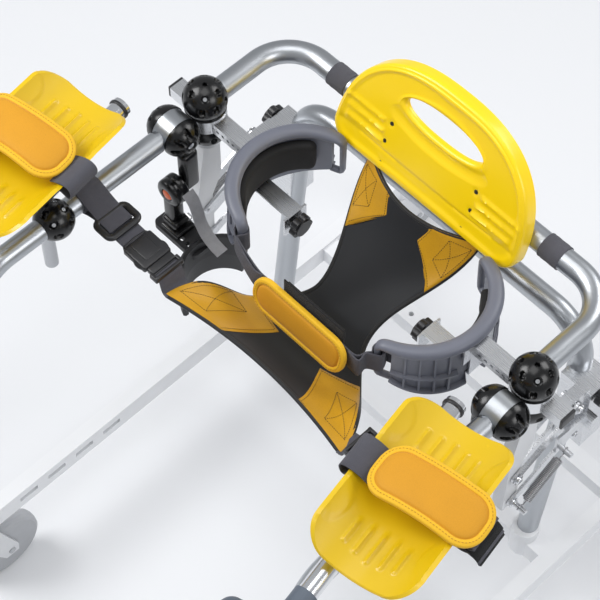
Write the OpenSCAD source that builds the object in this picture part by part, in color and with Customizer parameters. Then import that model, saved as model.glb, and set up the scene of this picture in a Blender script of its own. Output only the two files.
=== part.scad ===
// Gait trainer: a wheeled base carries a sprung upper frame with a back panel,
// trunk supports, a sling saddle, forearm gutters and thigh guides.
// Millimetres, +Z up, the user faces -Y, the user's left is +X, floor at z = 0.

/* [Upper frame] */
// Half the distance between the two corner clamps
frame_half = 293; // [260:1:340]
// Height of the upper loop's tube
loop_z = 800; // [780:1:880]
// Radius of the main tubes
tube_r = 16; // [14:0.5:17]
// Wall of the main tubes
tube_wall = 2; // [1.5:0.1:3]
// Bend radius of the main tubes
tube_bend = 62; // [50:1:75]
// How far the upper loop reaches behind the corner clamps
loop_back = 152; // [145:1:170]
// Length of each fabric sleeve on the upper loop
sleeve_len = 32; // [20:1:40]
// Thickness of the fabric sleeves
sleeve_t = 1.6; // [1:0.1:2]

/* [Back panel] */
// Room between the back panel and the bends of the upper loop, each side
panel_margin = 61; // [53:1:75]
// Height of the back panel along its own face
panel_h = 190; // [170:1:200]
// Depth of the back panel's rim
panel_d = 22; // [16:1:24]
// Wall of the back panel
panel_wall = 4; // [3:0.5:6]
// Lean of the back panel
panel_lean = 20; // [15:1:25]
// Length of the hand hole in the back panel
hole_w = 136; // [110:1:150]
// Height of the hand hole in the back panel
hole_h = 38; // [32:1:44]

/* [Corner clamps] */
// Radius of the corner balls
ball_r = 30.5; // [29:0.5:32]
// Radius of the tilt clamps
tilt_r = 28; // [26:0.5:28.5]
// Distance of the tilt clamps in front of the corner balls
tilt_y = 57; // [57:1:62]
// Drop of the tilt clamps below the corner balls
tilt_drop = 18; // [16:1:22]
// Width of each tilt clamp's aluminium ring
ring_w = 26; // [22:1:30]

/* [Trunk supports] */
// Width of the transverse bars
bar_w = 24; // [20:1:26]
// Height of the transverse bars
bar_h = 19; // [16:1:20]
// How far each transverse bar reaches outside its corner clamp
bar_out = 57; // [45:1:70]
// Radius of the trunk shells at mid wall
trunk_r = 93; // [85:1:100]
// Distance of each trunk shell's outer face from the middle
trunk_half = 198; // [190:1:205]
// Half the angle that a trunk shell spans
trunk_a = 68; // [55:1:72]
// Height of the trunk shells
trunk_h = 92; // [80:1:100]
// Thickness of the trunk shells' wall
trunk_t = 7; // [5:0.5:9]
// Radius of the rounded rim of the trunk shells
rim_r = 9; // [7:0.5:10]
// Thickness of the trunk pads
trunk_pad_t = 14; // [10:1:18]

/* [Armrests] */
// Radius of the armrest tubes
arm_r = 15; // [13:0.5:15.5]
// How far the armrest tubes' middle lies below the upper loop's
arm_drop = 16; // [12:1:20]
// Distance of the gutter clamps in front of the corner balls
post_y = 262; // [250:1:280]
// Radius of the gutter clamp balls
post_ball_r = 27.5; // [26:0.5:29]
// Radius of the gutter posts
post_r = 7; // [6:0.5:8]
// Length of the gutters
gutter_len = 238; // [200:1:260]
// Width of the gutters
gutter_w = 146; // [120:1:150]
// Depth of the gutters' trough
gutter_deep = 34; // [25:1:40]
// Wall of the gutters
gutter_wall = 4; // [3:0.5:5]
// Radius of the chrome gutter rods
rod_r = 12.5; // [10:0.5:13]
// Radius of the handgrips
grip_r = 17.5; // [15:0.5:19]
// Length of the handgrips
grip_len = 92; // [80:1:100]

/* [Suspension] */
// Distance of the fixed pivots behind the corner balls
pivot_y = 94; // [90:1:98]
// Height of the upper fixed pivots
pivot_z = 622; // [610:1:640]
// Reach of the links from pivot to pivot, front to back
link_run = 110; // [100:1:115]
// Drop of the links from pivot to pivot
link_drop = 51; // [45:1:60]
// Distance between the upper and the lower links
link_gap = 65; // [62:1:70]
// Radius of the pivot pins
pin_r = 4; // [3:0.5:5]
// Radial play of the pivot pins
pin_play = 0.06; // [0.03:0.01:0.1]
// Outer radius of the springs
spring_r = 7.5; // [6:0.5:8]
// Wire radius of the springs
wire_r = 1; // [0.8:0.05:1.1]
// Curls of each spring
curls = 28; // [20:1:30]

/* [Base] */
// Half the track of the base at the side rails
base_half = 315; // [300:1:340]
// Distance of the front castors in front of the corner balls
base_front = 470; // [440:1:490]
// Distance of the rear castors behind the corner balls
base_back = 424; // [380:1:440]
// Height of the side rails' middle
rail_z = 165; // [160:1:180]
// Wheel radius
wheel_r = 60; // [50:1:64]
// Wheel width
wheel_w = 26; // [22:1:30]
// Trail of the castors
trail = 32; // [25:1:38]
// How far the rear arch's legs stand inside the corner clamps
arch_inset = 31; // [27:1:35]
// Height of the rear arch's tube
arch_z = 686; // [670:1:695]
// Forward lean of the arch's legs
arch_lean = 6; // [4:1:7]

/* [Sling] */
// Half width of the sling at its rear edge
sling_back_half = 98; // [85:1:105]
// Half width of the sling at its waist
sling_waist_half = 50; // [40:1:60]
// How far the sling's front edge ends inside the corner clamps
sling_inset = 138; // [133:1:150]
// How far the sling's front edge lies towards the left armrest
sling_shift = 30; // [20:1:32]
// Lowest height of the sling
sling_low = 640; // [610:1:670]
// Thickness of the sling
sling_t = 5; // [4:0.5:7]
// Width of the sling webbing
web_w = 38; // [25:1:40]
// Thickness of the webbing
web_t = 2; // [1.5:0.1:2.5]

/* [Hidden] */
RIGHT = -1;
LEFT = 1;
SIDES = [RIGHT, LEFT];
eps = 0.01;
fit = 0.3;
soft_gap = 0.4;

silver = "#b4b8bb";
black = "#1c1d20";
yellow = "#f7cf12";
slate = "#666974";
white = "#eceef0";
webbing = "#5c5d66";

// Helpers for swept tubes and ribbons
function unit(v) = v / norm(v);
function arc_points(a, b, c, r, n) =
    let (u = unit(a - b), v = unit(c - b), h = acos(max(-1, min(1, u * v))) / 2, t = r / tan(h),
         m = unit(u + v), o = b + m * (r / sin(h)), e = unit(b + u * t - o), f = unit(b + v * t - o),
         w = acos(max(-1, min(1, e * f))))
    [for (i = [0:n]) o + r * (sin((n - i) / n * w) * e + sin(i / n * w) * f) / sin(w)];
function rounded(p, r, n) = concat([p[0]],
    [for (i = [1:len(p) - 2]) each arc_points(p[i - 1], p[i], p[i + 1], r, n)], [p[len(p) - 1]]);
function tangent(p, i) = unit(p[min(i + 1, len(p) - 1)] - p[max(i - 1, 0)]);
function turned(n, t) = unit(n - (n * t) * t);
function normals(p, start) = [for (i = 0, n = turned(start, tangent(p, 0)); i < len(p);
    i = i + 1, n = i < len(p) ? turned(n, tangent(p, i)) : n) n];
function side_faces(rings, k) = [for (i = [0:rings - 2], j = [0:k - 1])
    let (a = i * k + j, b = i * k + (j + 1) % k, c = a + k, d = b + k) each [[a, c, b], [b, c, d]]];
function cap_faces(rings, k) = concat([for (j = [1:k - 2]) [0, j, j + 1]],
    [for (j = [1:k - 2]) let (o = (rings - 1) * k) [o, o + j + 1, o + j]]);

// Sweeps the closed section [side, up] along the points
module sweep(path, section, start) {
    n = normals(path, start);
    k = len(section);
    points = [for (i = [0:len(path) - 1]) let (t = tangent(path, i), s = cross(n[i], t))
        each [for (q = section) path[i] + q[0] * s + q[1] * n[i]]];
    polyhedron(points, concat(side_faces(len(path), k), cap_faces(len(path), k)), convexity = 6);
}
function ring(r, k) = [for (j = [0:k - 1]) r * [cos(360 * j / k), sin(360 * j / k)]];
function strip(w, t) = [[-w / 2, -t / 2], [w / 2, -t / 2], [w / 2, t / 2], [-w / 2, t / 2]];

// A box with rounded upright edges, centred on X and Y
module slab(w, d, h, r) {
    translate([-w / 2, -d / 2 + r, 0]) cube([w, d - 2 * r, h]);
    translate([-w / 2 + r, -d / 2, 0]) cube([w - 2 * r, d, h]);
    for (x = [-1, 1], y = [-1, 1]) translate([x * (w / 2 - r), y * (d / 2 - r), 0]) cylinder(r = r, h = h,
        $fn = 32);
}
module along_x(p, h, r) translate(p) rotate([0, 90, 0]) cylinder(r = r, h = h, center = true, $fn = 48);
module along_y(p, h, r) translate(p) rotate([90, 0, 0]) cylinder(r = r, h = h, center = true, $fn = 48);

// Upper loop
loop_half = frame_half - 3;
loop_in = loop_half - tube_bend;
arm_z = loop_z - arm_drop;
panel_w = 2 * (loop_in - panel_margin);
arch_half = frame_half - arch_inset;
sling_front_half = frame_half - sling_inset;
loop_start = 20;
module loop_run(r) {
    for (s = SIDES) {
        translate([s * loop_half, loop_start, loop_z]) rotate([-90, 0, 0])
            cylinder(r = r, h = loop_back - tube_bend - loop_start, $fn = 64);
        translate([s * loop_in, loop_back - tube_bend, loop_z]) rotate([0, 0, s > 0 ? 0 : 90])
            rotate_extrude(angle = 90, $fn = 96) translate([tube_bend, 0]) circle(r = r, $fn = 64);
    }
    along_x([0, loop_back, loop_z], 2 * loop_in, r);
}
module upper_loop() color(silver) difference() {
    loop_run(tube_r);
    loop_run(tube_r - tube_wall);
}
sleeve_x = panel_w / 2 + 6;
module loop_sleeves() color(webbing) for (s = SIDES) difference() {
    along_x([s * (sleeve_x + sleeve_len / 2), loop_back, loop_z], sleeve_len, tube_r + sleeve_t);
    along_x([s * (sleeve_x + sleeve_len / 2), loop_back, loop_z], sleeve_len + 1, tube_r);
}

// Back panel, drawn in its own plane and leaned back over the upper loop
panel_low = -44;
corner_r = 26;
function panel_edge(w, h, grow) = let (a = w / 2 + grow, c = corner_r)
    concat([for (i = [0:6]) let (t = -90 + 15 * i) [a - c + c * cos(t), c - grow + c * sin(t)]],
        [for (i = [1:23]) let (t = 180 * i / 24) [a * sign(cos(t)) * pow(abs(cos(t)), 0.8),
            c - grow + (h + grow * 2 - c) * pow(sin(t), 0.86)]],
        [for (i = [0:6]) let (t = 180 + 15 * i) [-a + c + c * cos(t), c - grow + c * sin(t)]]);
function oval(w, h, n) = [for (i = [0:n - 1]) let (t = 360 * i / n)
    [w / 2 * sign(cos(t)) * pow(abs(cos(t)), 0.8), h / 2 * sin(t)]];
module on_panel() translate([0, loop_back - tube_r, loop_z]) rotate([-panel_lean, 0, 0])
    translate([0, 0, panel_low]) rotate([90, 0, 0]) children();
hole_up = 128;
lip_h = 30;
screw_spots = [[74, 76], [76, 46], [72, 12]];
screw_r = 2.5;
module back_panel() color(yellow) on_panel() difference() {
    union() {
        translate([0, 0, 1.5]) linear_extrude(panel_d) polygon(panel_edge(panel_w, panel_h, 0));
        for (s = SIDES, i = [0:2]) translate([s * (118 - 4 * i), 74 - 15 * i, panel_d + 1.5])
            rotate([0, 90, 0]) cylinder(r = 3, h = 52, center = true, $fn = 24);
    }
    translate([0, 0, -1]) linear_extrude(panel_d + 2.5 - panel_wall)
        polygon(panel_edge(panel_w, panel_h, -panel_wall));
    translate([0, hole_up, -1]) linear_extrude(panel_d + 9) polygon(oval(hole_w, hole_h, 40));
    for (s = SIDES, q = screw_spots) translate([s * q[0], q[1], 0]) cylinder(r = screw_r, h = panel_d + 9,
        $fn = 24);
    translate([-panel_w, -1, panel_d + 1.5 - 1.6]) cube([panel_w * 2, lip_h + 1, 9]);
}
module panel_screws() color("#6f675f") on_panel() for (s = SIDES, q = screw_spots)
    translate([s * q[0], q[1], panel_d + 1.5 - panel_wall - 6]) {
        cylinder(r = screw_r, h = panel_wall + 6 - (q[1] < lip_h ? 1.6 : 0), $fn = 24);
    }

// Corner clamps: two black shells with an aluminium band between them
band_top = loop_z - 18;
band_h = 24;
bar_z = band_top - band_h / 2;
low_centre = band_top - band_h - 13;
low_flat = low_centre - 22;
tilt_z = loop_z - tilt_drop;
module at_corner(s) translate([s * frame_half, 0, 0]) children();
module dimples(r, n, a) for (i = [0:n - 1]) rotate([0, a, 360 * i / n + 20]) translate([0, 0, r - 4])
    cylinder(r = 3.6, h = 9, $fn = 24);
module clamp_shells() {
    corner_caps();
    thigh_brackets();
}
module corner_caps() color(black) for (s = SIDES) at_corner(s) {
    difference() {
        translate([0, 0, loop_z]) sphere(r = ball_r, $fn = 64);
        translate([-50, -50, band_top - 100]) cube([100, 100, 100]);
        translate([-s * (frame_half - loop_half), 0, loop_z]) rotate([-90, 0, 0])
            translate([0, 0, loop_start]) cylinder(r = tube_r, h = 60, $fn = 64);
        translate([0, 0, loop_z]) dimples(ball_r, 6, 42);
        translate([0, 0, loop_z]) dimples(ball_r, 1, 0);
        translate([0, -tilt_y, tilt_z]) sphere(r = tilt_r + fit, $fn = 64);
    }
    difference() {
        translate([0, 0, low_centre]) sphere(r = ball_r, $fn = 64);
        translate([-50, -50, band_top - band_h]) cube([100, 100, 100]);
        translate([-50, -50, low_flat - 100]) cube([100, 100, 100]);
    }
    for (x = SIDES) translate([0, -tilt_y, tilt_z]) rotate([0, x * 90, 0]) difference() {
        sphere(r = tilt_r, $fn = 64);
        translate([0, 0, -50 + ring_w / 2]) cube([100, 100, 100], center = true);
        translate([0, 0, ring_w / 2 - 1]) cylinder(r = neck_r, h = 7, $fn = 48);
        for (i = [0:7]) rotate([0, 0, 45 * i + 22.5]) translate([tilt_r - 2.2, 0, ring_w / 2 + 6])
            cylinder(r = 3.4, h = 30, $fn = 24);
    }
}
neck_r = 10;
// Bands with the neck that carries each tilt clamp
module corner_bands() color(silver) for (s = SIDES) at_corner(s) {
    difference() {
        union() {
            translate([0, 0, band_top - band_h]) cylinder(r = ball_r - 2, h = band_h, $fn = 64);
            translate([-6, -tilt_y + 7, bar_z + 1]) cube([12, tilt_y - 7, 10]);
            along_x([0, -tilt_y, tilt_z], ring_w + 12, neck_r);
        }
        translate([-60, -bar_w / 2 - fit, bar_z - bar_h / 2 - fit]) cube([120, bar_w + 2 * fit,
            bar_h + 2 * fit]);
    }
}
// Carriers hang below the corner clamps and hold the moving pivots
carrier_t = 18;
low_pivot = [pivot_y - link_run, pivot_z - link_drop];
carrier_top = low_flat;
link_w = 16;
module carriers() color("#3a3c40") for (s = SIDES) at_corner(s) difference() {
    union() {
        translate([0, 0, carrier_top - 8]) cylinder(r = 20, h = 8, $fn = 48);
        translate([-carrier_t / 2, 0, 0]) rotate([90, 0, 90]) linear_extrude(carrier_t) polygon([
            [-14, carrier_top - 8 + eps], [14, carrier_top - 8 + eps], [14, low_pivot[1] + 60],
            [low_pivot[0] + 12, low_pivot[1] + 22], [low_pivot[0] + 12, low_pivot[1] - link_gap - 16],
            [low_pivot[0] - 14, low_pivot[1] - link_gap - 16], [low_pivot[0] - 14, low_pivot[1] + 40]]);
    }
    for (z = [0, link_gap]) along_x([0, low_pivot[0], low_pivot[1] - z], 60, pin_r + pin_play);
}

// Rear arch: a bent tube that stands in the base and leans forward towards its feet
arch_foot = rail_z - 12;
module arch_run(r) {
    drop = arch_z - arch_foot;
    for (s = SIDES) {
        translate([s * arch_half, 0, -drop]) cylinder(r = r, h = drop - tube_bend, $fn = 64);
        translate([s * (arch_half - tube_bend), 0, -tube_bend]) rotate([90, 0, 0]) rotate([0, 0,
            s > 0 ? 0 : 90])
            rotate_extrude(angle = 90, $fn = 96) translate([tube_bend, 0]) circle(r = r, $fn = 64);
    }
    along_x([0, 0, 0], 2 * (arch_half - tube_bend), r);
}
module on_arch() translate([0, loop_back + 2, arch_z]) rotate([-arch_lean, 0, 0]) children();
module rear_arch() color(silver) on_arch() difference() {
    arch_run(tube_r);
    arch_run(tube_r - tube_wall);
}
function arch_y(z) = loop_back + 2 - (arch_z - z) * tan(arch_lean);

// Spring posts: blocks clamped on the arch's legs, with ears for the fixed pivots
link_t = 4;
link_x = carrier_t / 2 + 1 + link_t / 2;
spring_x = link_x + link_t / 2 + 5 + spring_r;
hook_high = [pivot_y - 30, pivot_z - 60];
module spring_posts() color("#c9cccf") for (s = SIDES) difference() {
    union() {
        translate([s * (frame_half - 12), arch_y(pivot_z - 50) - 4, pivot_z - 135])
            translate([-26, -20, 0]) cube([52, 46, 136]);
        for (z = [0, link_gap]) translate([s * frame_half - carrier_t / 2, pivot_y - 12, pivot_z - z - 14])
            cube([carrier_t, 40, 28]);
        translate([s * (frame_half + spring_x - spring_r - 3) - 2, 0, 0]) {
            translate([0, hook_high[0] - 8, hook_high[1] + 3]) cube([4, 62, 24]);
            translate([0, hook_high[0] - 8, hook_high[1] - 8]) cube([4, 16, 12]);
        }
        translate([s * (frame_half + 15) - 15, pivot_y + 14, hook_high[1] + 3]) cube([30, 12, 24]);
        along_x([s * (frame_half + spring_x), hook_high[0], hook_high[1]], 2 * spring_r + 8, pin_r);
    }
    on_arch() for (x = SIDES) translate([x * arch_half, 0, -400]) cylinder(r = tube_r, h = 380, $fn = 64);
    for (z = [0, link_gap]) along_x([s * frame_half, pivot_y, pivot_z - z], 60, pin_r + pin_play);
    along_x([s * (frame_half + 14 + knob_len / 2), knob_y, knob_z], knob_len + 40, 5 + pin_play);
}
knob_len = 16;
module knob(r, stem_r, stem) {
    for (i = [0:4]) rotate([0, 0, 72 * i]) translate([r * 0.62, 0, 0]) cylinder(r = r * 0.42,
        h = knob_len - 6, $fn = 32);
    cylinder(r = r * 0.78, h = knob_len - 4, $fn = 48);
    translate([0, 0, -stem]) cylinder(r = stem_r, h = stem + 1, $fn = 32);
}
knob_y = arch_y(pivot_z) - 6;
knob_z = pivot_z - 12;
module preload_knob(s) color(black) translate([s * (frame_half + 16), knob_y, knob_z])
    rotate([0, s * 90, 0]) knob(18, 5, 12);

// Links: two flat bars and their pins
module bar2(a, b, x, t, w) {
    d = b - a;
    translate([x - t / 2, a[0], a[1]]) rotate([atan2(d[1], d[0]), 0, 0]) {
        translate([0, 0, -w / 2]) cube([t, norm(d), w]);
        for (y = [0, norm(d)]) translate([0, y, 0]) rotate([0, 90, 0]) cylinder(r = w / 2, h = t, $fn = 32);
    }
}
module link(s, drop, reach) color(silver) translate([s * frame_half, 0, 0]) {
    a = [pivot_y, pivot_z - drop];
    b = [low_pivot[0], low_pivot[1] - drop];
    for (x = SIDES) bar2(a, b, x * link_x, link_t, link_w);
    along_x([0, a[0], a[1]], 2 * link_x + link_t + 3, pin_r);
    along_x([s * reach / 2, b[0], b[1]], 2 * link_x + link_t + 3 + reach, pin_r);
}
spring_reach = spring_x + spring_r + 3 - (link_x + link_t / 2 + 1.5);

// Springs: one tension spring a side, one unbroken wire
hook_low = [low_pivot[0], low_pivot[1] - link_gap];
function spring_path(a, b, n) = let (d = b - a, l = norm(d), e = d / l, u = [1, 0, 0], v = cross(e, u),
        lead = 14, r = spring_r - wire_r, eye = pin_r + wire_r + 0.15,
        body = l - 2 * lead)
    concat(
        [for (i = [0:8]) let (t = 180 + 25 * i - 20) a + eye * (-cos(t) * v * 1 + sin(t) * e)],
        [for (i = [0:n * 8]) let (t = 45 * i, g = i < 8 ? i / 8 : (i > n * 8 - 8 ? (n * 8 - i) / 8 : 1))
            a + e * (lead + body * i / (n * 8)) + max(g, 0.15) * r * (cos(t) * u + sin(t) * v)],
        [for (i = [0:8]) let (t = 20 + 25 * i) b + eye * (cos(t) * v * -1 + -sin(t) * e) ]);
wire_path = spring_path([0, hook_high[0], hook_high[1]], [0, hook_low[0], hook_low[1]], curls);
wire_gap = min([for (i = [0:len(wire_path) - 5], j = [i + 4:len(wire_path) - 1])
    norm(wire_path[i] - wire_path[j])])
    - 2 * wire_r;
echo(least_spring_gap_mm = wire_gap);
module spring(s) color("#8d9094") translate([s * (frame_half + spring_x), 0, 0])
    sweep(wire_path, ring(wire_r, 6), [0, 1, 0]);

// Base: side rails, cross rails, castor sockets and the arch's feet
rail_h = 40;
rail_w = 24;
cross_y = 250;
rail_bore_x = 120;
rail_bore_r = 4.25;
stem_r = 9;
socket_r = 17;
socket_h = 46;
foot_y = arch_y(rail_z);
module base_frame() color(white) difference() {
    union() {
        for (s = SIDES) {
            translate([s * base_half - rail_w / 2, -base_front, rail_z - rail_h / 2])
                cube([rail_w, base_front + base_back, rail_h]);
            for (y = [-base_front, base_back]) translate([s * base_half, y, rail_z - socket_h / 2])
                cylinder(r = socket_r, h = socket_h, $fn = 48);
            translate([s * arch_half, foot_y, rail_z - rail_h / 2]) cylinder(r = tube_r + 5,
                h = rail_h + 20, $fn = 48);
            translate([s * (arch_half + base_half) / 2, foot_y, rail_z])
                cube([base_half - arch_half, 30, rail_h], center = true);
        }
        translate([-base_half, cross_y - 15, rail_z - 15]) cube([2 * base_half, 30, 30]);
        translate([-base_half, foot_y - 12, rail_z - 15]) cube([2 * base_half, 24, 30]);
    }
    on_arch() for (x = SIDES) translate([x * arch_half, 0, -arch_z + arch_foot]) cylinder(r = tube_r,
        h = 380, $fn = 64);
    for (s = SIDES, y = [-base_front, base_back]) translate([s * base_half, y, rail_z - socket_h / 2 - 1])
        cylinder(r = stem_r + pin_play, h = socket_h + 2, $fn = 48);
    for (s = SIDES) translate([s * rail_bore_x, cross_y, rail_z - 20]) cylinder(r = rail_bore_r,
        h = 40, $fn = 32);
    for (s = SIDES, i = [0:3]) translate([s * base_half - 30, -base_front + 70 + 55 * i, rail_z - 5])
        cube([60, 34, 10]);
}

// Castors
fork_top = rail_z - socket_h / 2 - 0.5;
fork_in = wheel_w / 2 + 1.5;
fork_t = 5;
axle_r = 6;
module castor_fork(s, y) color("#d4d7da") translate([s * base_half, y, 0]) difference() {
    union() {
        translate([0, 0, fork_top]) cylinder(r = stem_r, h = socket_h - 4, $fn = 48);
        translate([0, 0, fork_top - 8]) cylinder(r = 20, h = 8, $fn = 48);
        for (x = SIDES) translate([x > 0 ? fork_in : -fork_in - fork_t, 0, 0]) rotate([90, 0, 90])
            linear_extrude(fork_t) polygon([[-20, fork_top - 6], [20, fork_top - 6], [trail + 14,
                wheel_r + 4],
                [trail + 12, wheel_r - 12], [trail - 12, wheel_r - 12], [-20, fork_top - 20]]);
        translate([-fork_in - fork_t, -20, fork_top - 8]) cube([2 * (fork_in + fork_t), 40, 8]);
    }
    along_x([0, trail, wheel_r], 80, axle_r);
    if (y > 0) along_x([0, -pedal_y, fork_top - 16], 80, pedal_r + pin_play);
}
module castor_wheel(s, y) translate([s * base_half, y + trail, wheel_r]) rotate([0, 90, 0]) {
    color("#3a3b3e") rotate_extrude($fn = 96) polygon([[0, -wheel_w / 2], [wheel_r - 6, -wheel_w / 2],
        [wheel_r - 1.6, -wheel_w / 2 + 3.5], [wheel_r, -wheel_w / 2 + 9], [wheel_r, wheel_w / 2 - 9],
        [wheel_r - 1.6, wheel_w / 2 - 3.5], [wheel_r - 6, wheel_w / 2], [0, wheel_w / 2]]);
    cylinder(r = 12, h = wheel_w + 2, center = true, $fn = 48);
    cylinder(r = axle_r - pin_play, h = 2 * (fork_in + fork_t) + 4, center = true, $fn = 48);
}
pedal_r = 3.5;
pedal_y = 12;
module brake_pedal(s) color("#c8352b") translate([s * base_half, base_back, fork_top - 16]) {
    along_x([0, -pedal_y, 0], 2 * (fork_in + fork_t) - 1, pedal_r);
    translate([-10, -pedal_y - 42, -2.5]) cube([20, 43, 5]);
}

// Trunk supports
trunk_c = trunk_half - trunk_r;
trunk_z = loop_z - 18;
bar_in = trunk_half + trunk_t / 2 + 1.7;
bar_end = frame_half + bar_out;
module trunk_bar(s) color(silver) {
    difference() {
        translate([s * (bar_in + bar_end) / 2, 0, bar_z]) cube([bar_end - bar_in, bar_w, bar_h],
            center = true);
        for (i = [0:8]) along_y([s * (bar_in + 14 + 10 * i), -bar_w / 2, bar_z], 8, 2.6);
    }
    translate([s * (bar_end + 1.5), 0, bar_z]) cube([3 + eps, bar_w - 1, bar_h - 1], center = true);
    translate([s * bar_in - 1.5, -26, bar_z - 22]) cube([3, 52, 38]);
    translate([s * bar_in - (s > 0 ? 82 : -82) / 2 - 41, -13, bar_z - 60]) cube([82, 26, 3]);
    translate([s * bar_in - 1.5, -13, bar_z - 60]) cube([3, 26, 40]);
    difference() {
        translate([s * (bar_in - 80) - 1.5, -20, bar_z - 92]) cube([3, 40, 35]);
        along_x([s * (bar_in - 80), 0, bar_z - 76], 20, 5 + pin_play);
    }
}
module trunk_knob(s) color(black) translate([s * (bar_in - 86), 0, bar_z - 76]) rotate([0, -s * 90, 0])
    knob(17, 5, 12);

// One shell is a turned wall with a round rim, a rib cage outside and a loop at each end
module turned_arc(s, a) translate([s * trunk_c, 0, 0]) rotate([0, 0, s > 0 ? -a : 180 - a])
    rotate_extrude(angle = 2 * a, $fn = 96) children();
loop_len = 24;
rear_loop_len = 17;
loop_bar = 6;
module end_loop(s, e) translate([s * trunk_c, 0, trunk_z - trunk_h]) rotate([0, 0,
    (s > 0 ? 0 : 180) + e * trunk_a])
    translate([trunk_r, 0, 0]) mirror([0, e > 0 ? 0 : 1, 0]) difference() {
        translate([-rim_r + 0.5, -2, 18]) cube([2 * rim_r - 1, (e * s > 0 ? rear_loop_len : loop_len) + 2,
            trunk_h - 12]);
        translate([-rim_r - 1, loop_bar, 26]) cube([2 * rim_r + 2,
            (e * s > 0 ? rear_loop_len : loop_len) - 2 * loop_bar, trunk_h - 28]);
    }
module trunk_shell(s) color(slate) {
    difference() {
        turned_arc(s, trunk_a) shell_section();
        translate([s * (bar_in + 20 - 1.7), 0, bar_z - 2]) cube([40, 54, 46], center = true);
        translate([s * bar_in, 0, trunk_z - trunk_h + 11]) cube([60, 29, 30], center = true);
        translate([s * (bar_in + 20 - 1.7), 0, bar_z - 40]) cube([40, 29, 90], center = true);
    }
    for (e = SIDES) end_loop(s, e);
}
// The wall, two ribs outside it and its round rim as one closed outline
rib_out = 6;
rib_h = 4;
rib_low = 34;
module shell_section() {
    a = asin(trunk_t / 2 / rim_r);
    out = trunk_r + trunk_t / 2;
    low = trunk_z - trunk_h;
    polygon(concat([[trunk_r - trunk_t / 2, low]],
        [for (i = [0:20]) let (t = 270 - a - i * (360 - 2 * a) / 20) [trunk_r + rim_r * cos(t),
            trunk_z + rim_r * sin(t)]],
        [[out, low + rib_low + rib_h], [out + rib_out, low + rib_low + rib_h], [out + rib_out,
            low + rib_low],
        [out, low + rib_low], [out, low + rib_h], [out + rib_out, low + rib_h], [out + rib_out, low]]));
}
pad_in = trunk_r - trunk_t / 2 - soft_gap;
module trunk_pad(s) color("#26262a") turned_arc(s, trunk_a - 12)
    translate([pad_in - trunk_pad_t, 0]) polygon([[2, trunk_z - 60], [trunk_pad_t, trunk_z - 64],
        [trunk_pad_t, trunk_z - 11], [5, trunk_z - 11], [1, trunk_z - 16], [0, trunk_z - 38]]);

// Armrests: a ring and a bent tube that tilt about the tilt clamp
arm_bend = 52;
arm_end = 392;
tube_start = tilt_y + tilt_r + 1.5;
module armrest_tube(s) color(silver) translate([s * frame_half, 0, 0]) difference() {
    union() {
        along_x([0, -tilt_y, tilt_z], ring_w - 0.6, tilt_r - 1);
        along_y([0, -(tilt_y + tube_start) / 2, arm_z], tube_start - tilt_y, ring_w / 2 - 0.6);
        along_y([0, -(tube_start + arm_end - arm_bend) / 2, arm_z], arm_end - arm_bend - tube_start, arm_r);
        translate([0, -(arm_end - arm_bend), arm_z - arm_bend]) rotate([90, 0, -90])
            rotate_extrude(angle = 90, $fn = 96) translate([arm_bend, 0]) circle(r = arm_r, $fn = 48);
        translate([0, -arm_end, arm_z - arm_bend - 40]) cylinder(r = arm_r, h = 40, $fn = 48);
    }
    along_x([0, -tilt_y, tilt_z], ring_w + 2, neck_r + pin_play);
    translate([-7, -tilt_y + 4, tilt_z - 23]) cube([14, 60, 33]);
}
module gutter_ball(s) color(black) translate([s * frame_half, -post_y, 0]) difference() {
    union() {
        translate([0, 0, arm_z]) rotate([90, 0, 0]) rotate([0, 0, 90]) sphere(r = post_ball_r, $fn = 64);
        translate([s * post_x, 0, arm_z - 14]) cylinder(r = post_r + 4, h = 28, $fn = 48);
    }
    along_y([0, 0, arm_z], 80, arm_r);
    translate([s * post_x, 0, arm_z - 50]) cylinder(r = post_r + pin_play, h = 100, $fn = 48);
}
post_x = arm_r + post_r + 1;

// Forearm gutters, each drawn along its own axis and turned on its post
gutter_yaw = [8, 10];
gutter_at = [[-frame_half - 49, -248], [frame_half + 32, -246]];
rod_off = [22, 36];
function rod_in(s) = rod_off[s > 0 ? 1 : 0];
plate_z = arm_z + post_ball_r + 1.5;
rod_z = plate_z + rod_r + 4;
block_top = rod_z + rod_r + 4;
stub_low = arm_z - 124;
stub_top = arm_z - post_ball_r - 0.5;
stub_r = 9.5;
rod_back = 142;
rod_front = 205;
function spot(s) = gutter_at[s > 0 ? 1 : 0];
module on_gutter(s) translate([spot(s)[0], spot(s)[1], 0]) rotate([0, 0, gutter_yaw[s > 0 ? 1 : 0]])
    children();
module gutter_post(s) color("#9a9da1") {
    x0 = s * (frame_half + post_x);
    difference() {
        union() {
            translate([x0, -post_y, stub_top - 2]) cylinder(r = post_r, h = plate_z - stub_top + 8,
                $fn = 48);
            translate([x0, -post_y, stub_low]) cylinder(r = stub_r, h = stub_top - stub_low, $fn = 48);
            hull() {
                translate([x0, -post_y, plate_z]) cylinder(r = 13, h = 6, $fn = 32);
                on_gutter(s) translate([-s * rod_in(s), -10, plate_z]) cylinder(r = 16, h = 6, $fn = 32);
            }
            on_gutter(s) translate([-s * rod_in(s), -10, plate_z]) slab(34, 46, block_top - plate_z, 6);
            on_gutter(s) translate([-s * rod_in(s) / 2, -10, block_top - 4]) slab(rod_in(s) + 34, 46, 4, 6);
        }
        on_gutter(s) along_y([-s * rod_in(s), 0, rod_z], 400, rod_r);
    }
}
module gutter_rod(s) color("#d8dadc") on_gutter(s) {
    translate([-s * rod_in(s), (rod_back - rod_front) / 2, rod_z]) rotate([90, 0, 0])
        cylinder(r = rod_r, h = rod_back + rod_front, center = true, $fn = 48);
    translate([-s * rod_in(s), rod_back, rod_z]) rotate([-90, 0, 0]) cylinder(r = rod_r + 1, h = 5,
        $fn = 48);
}
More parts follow.
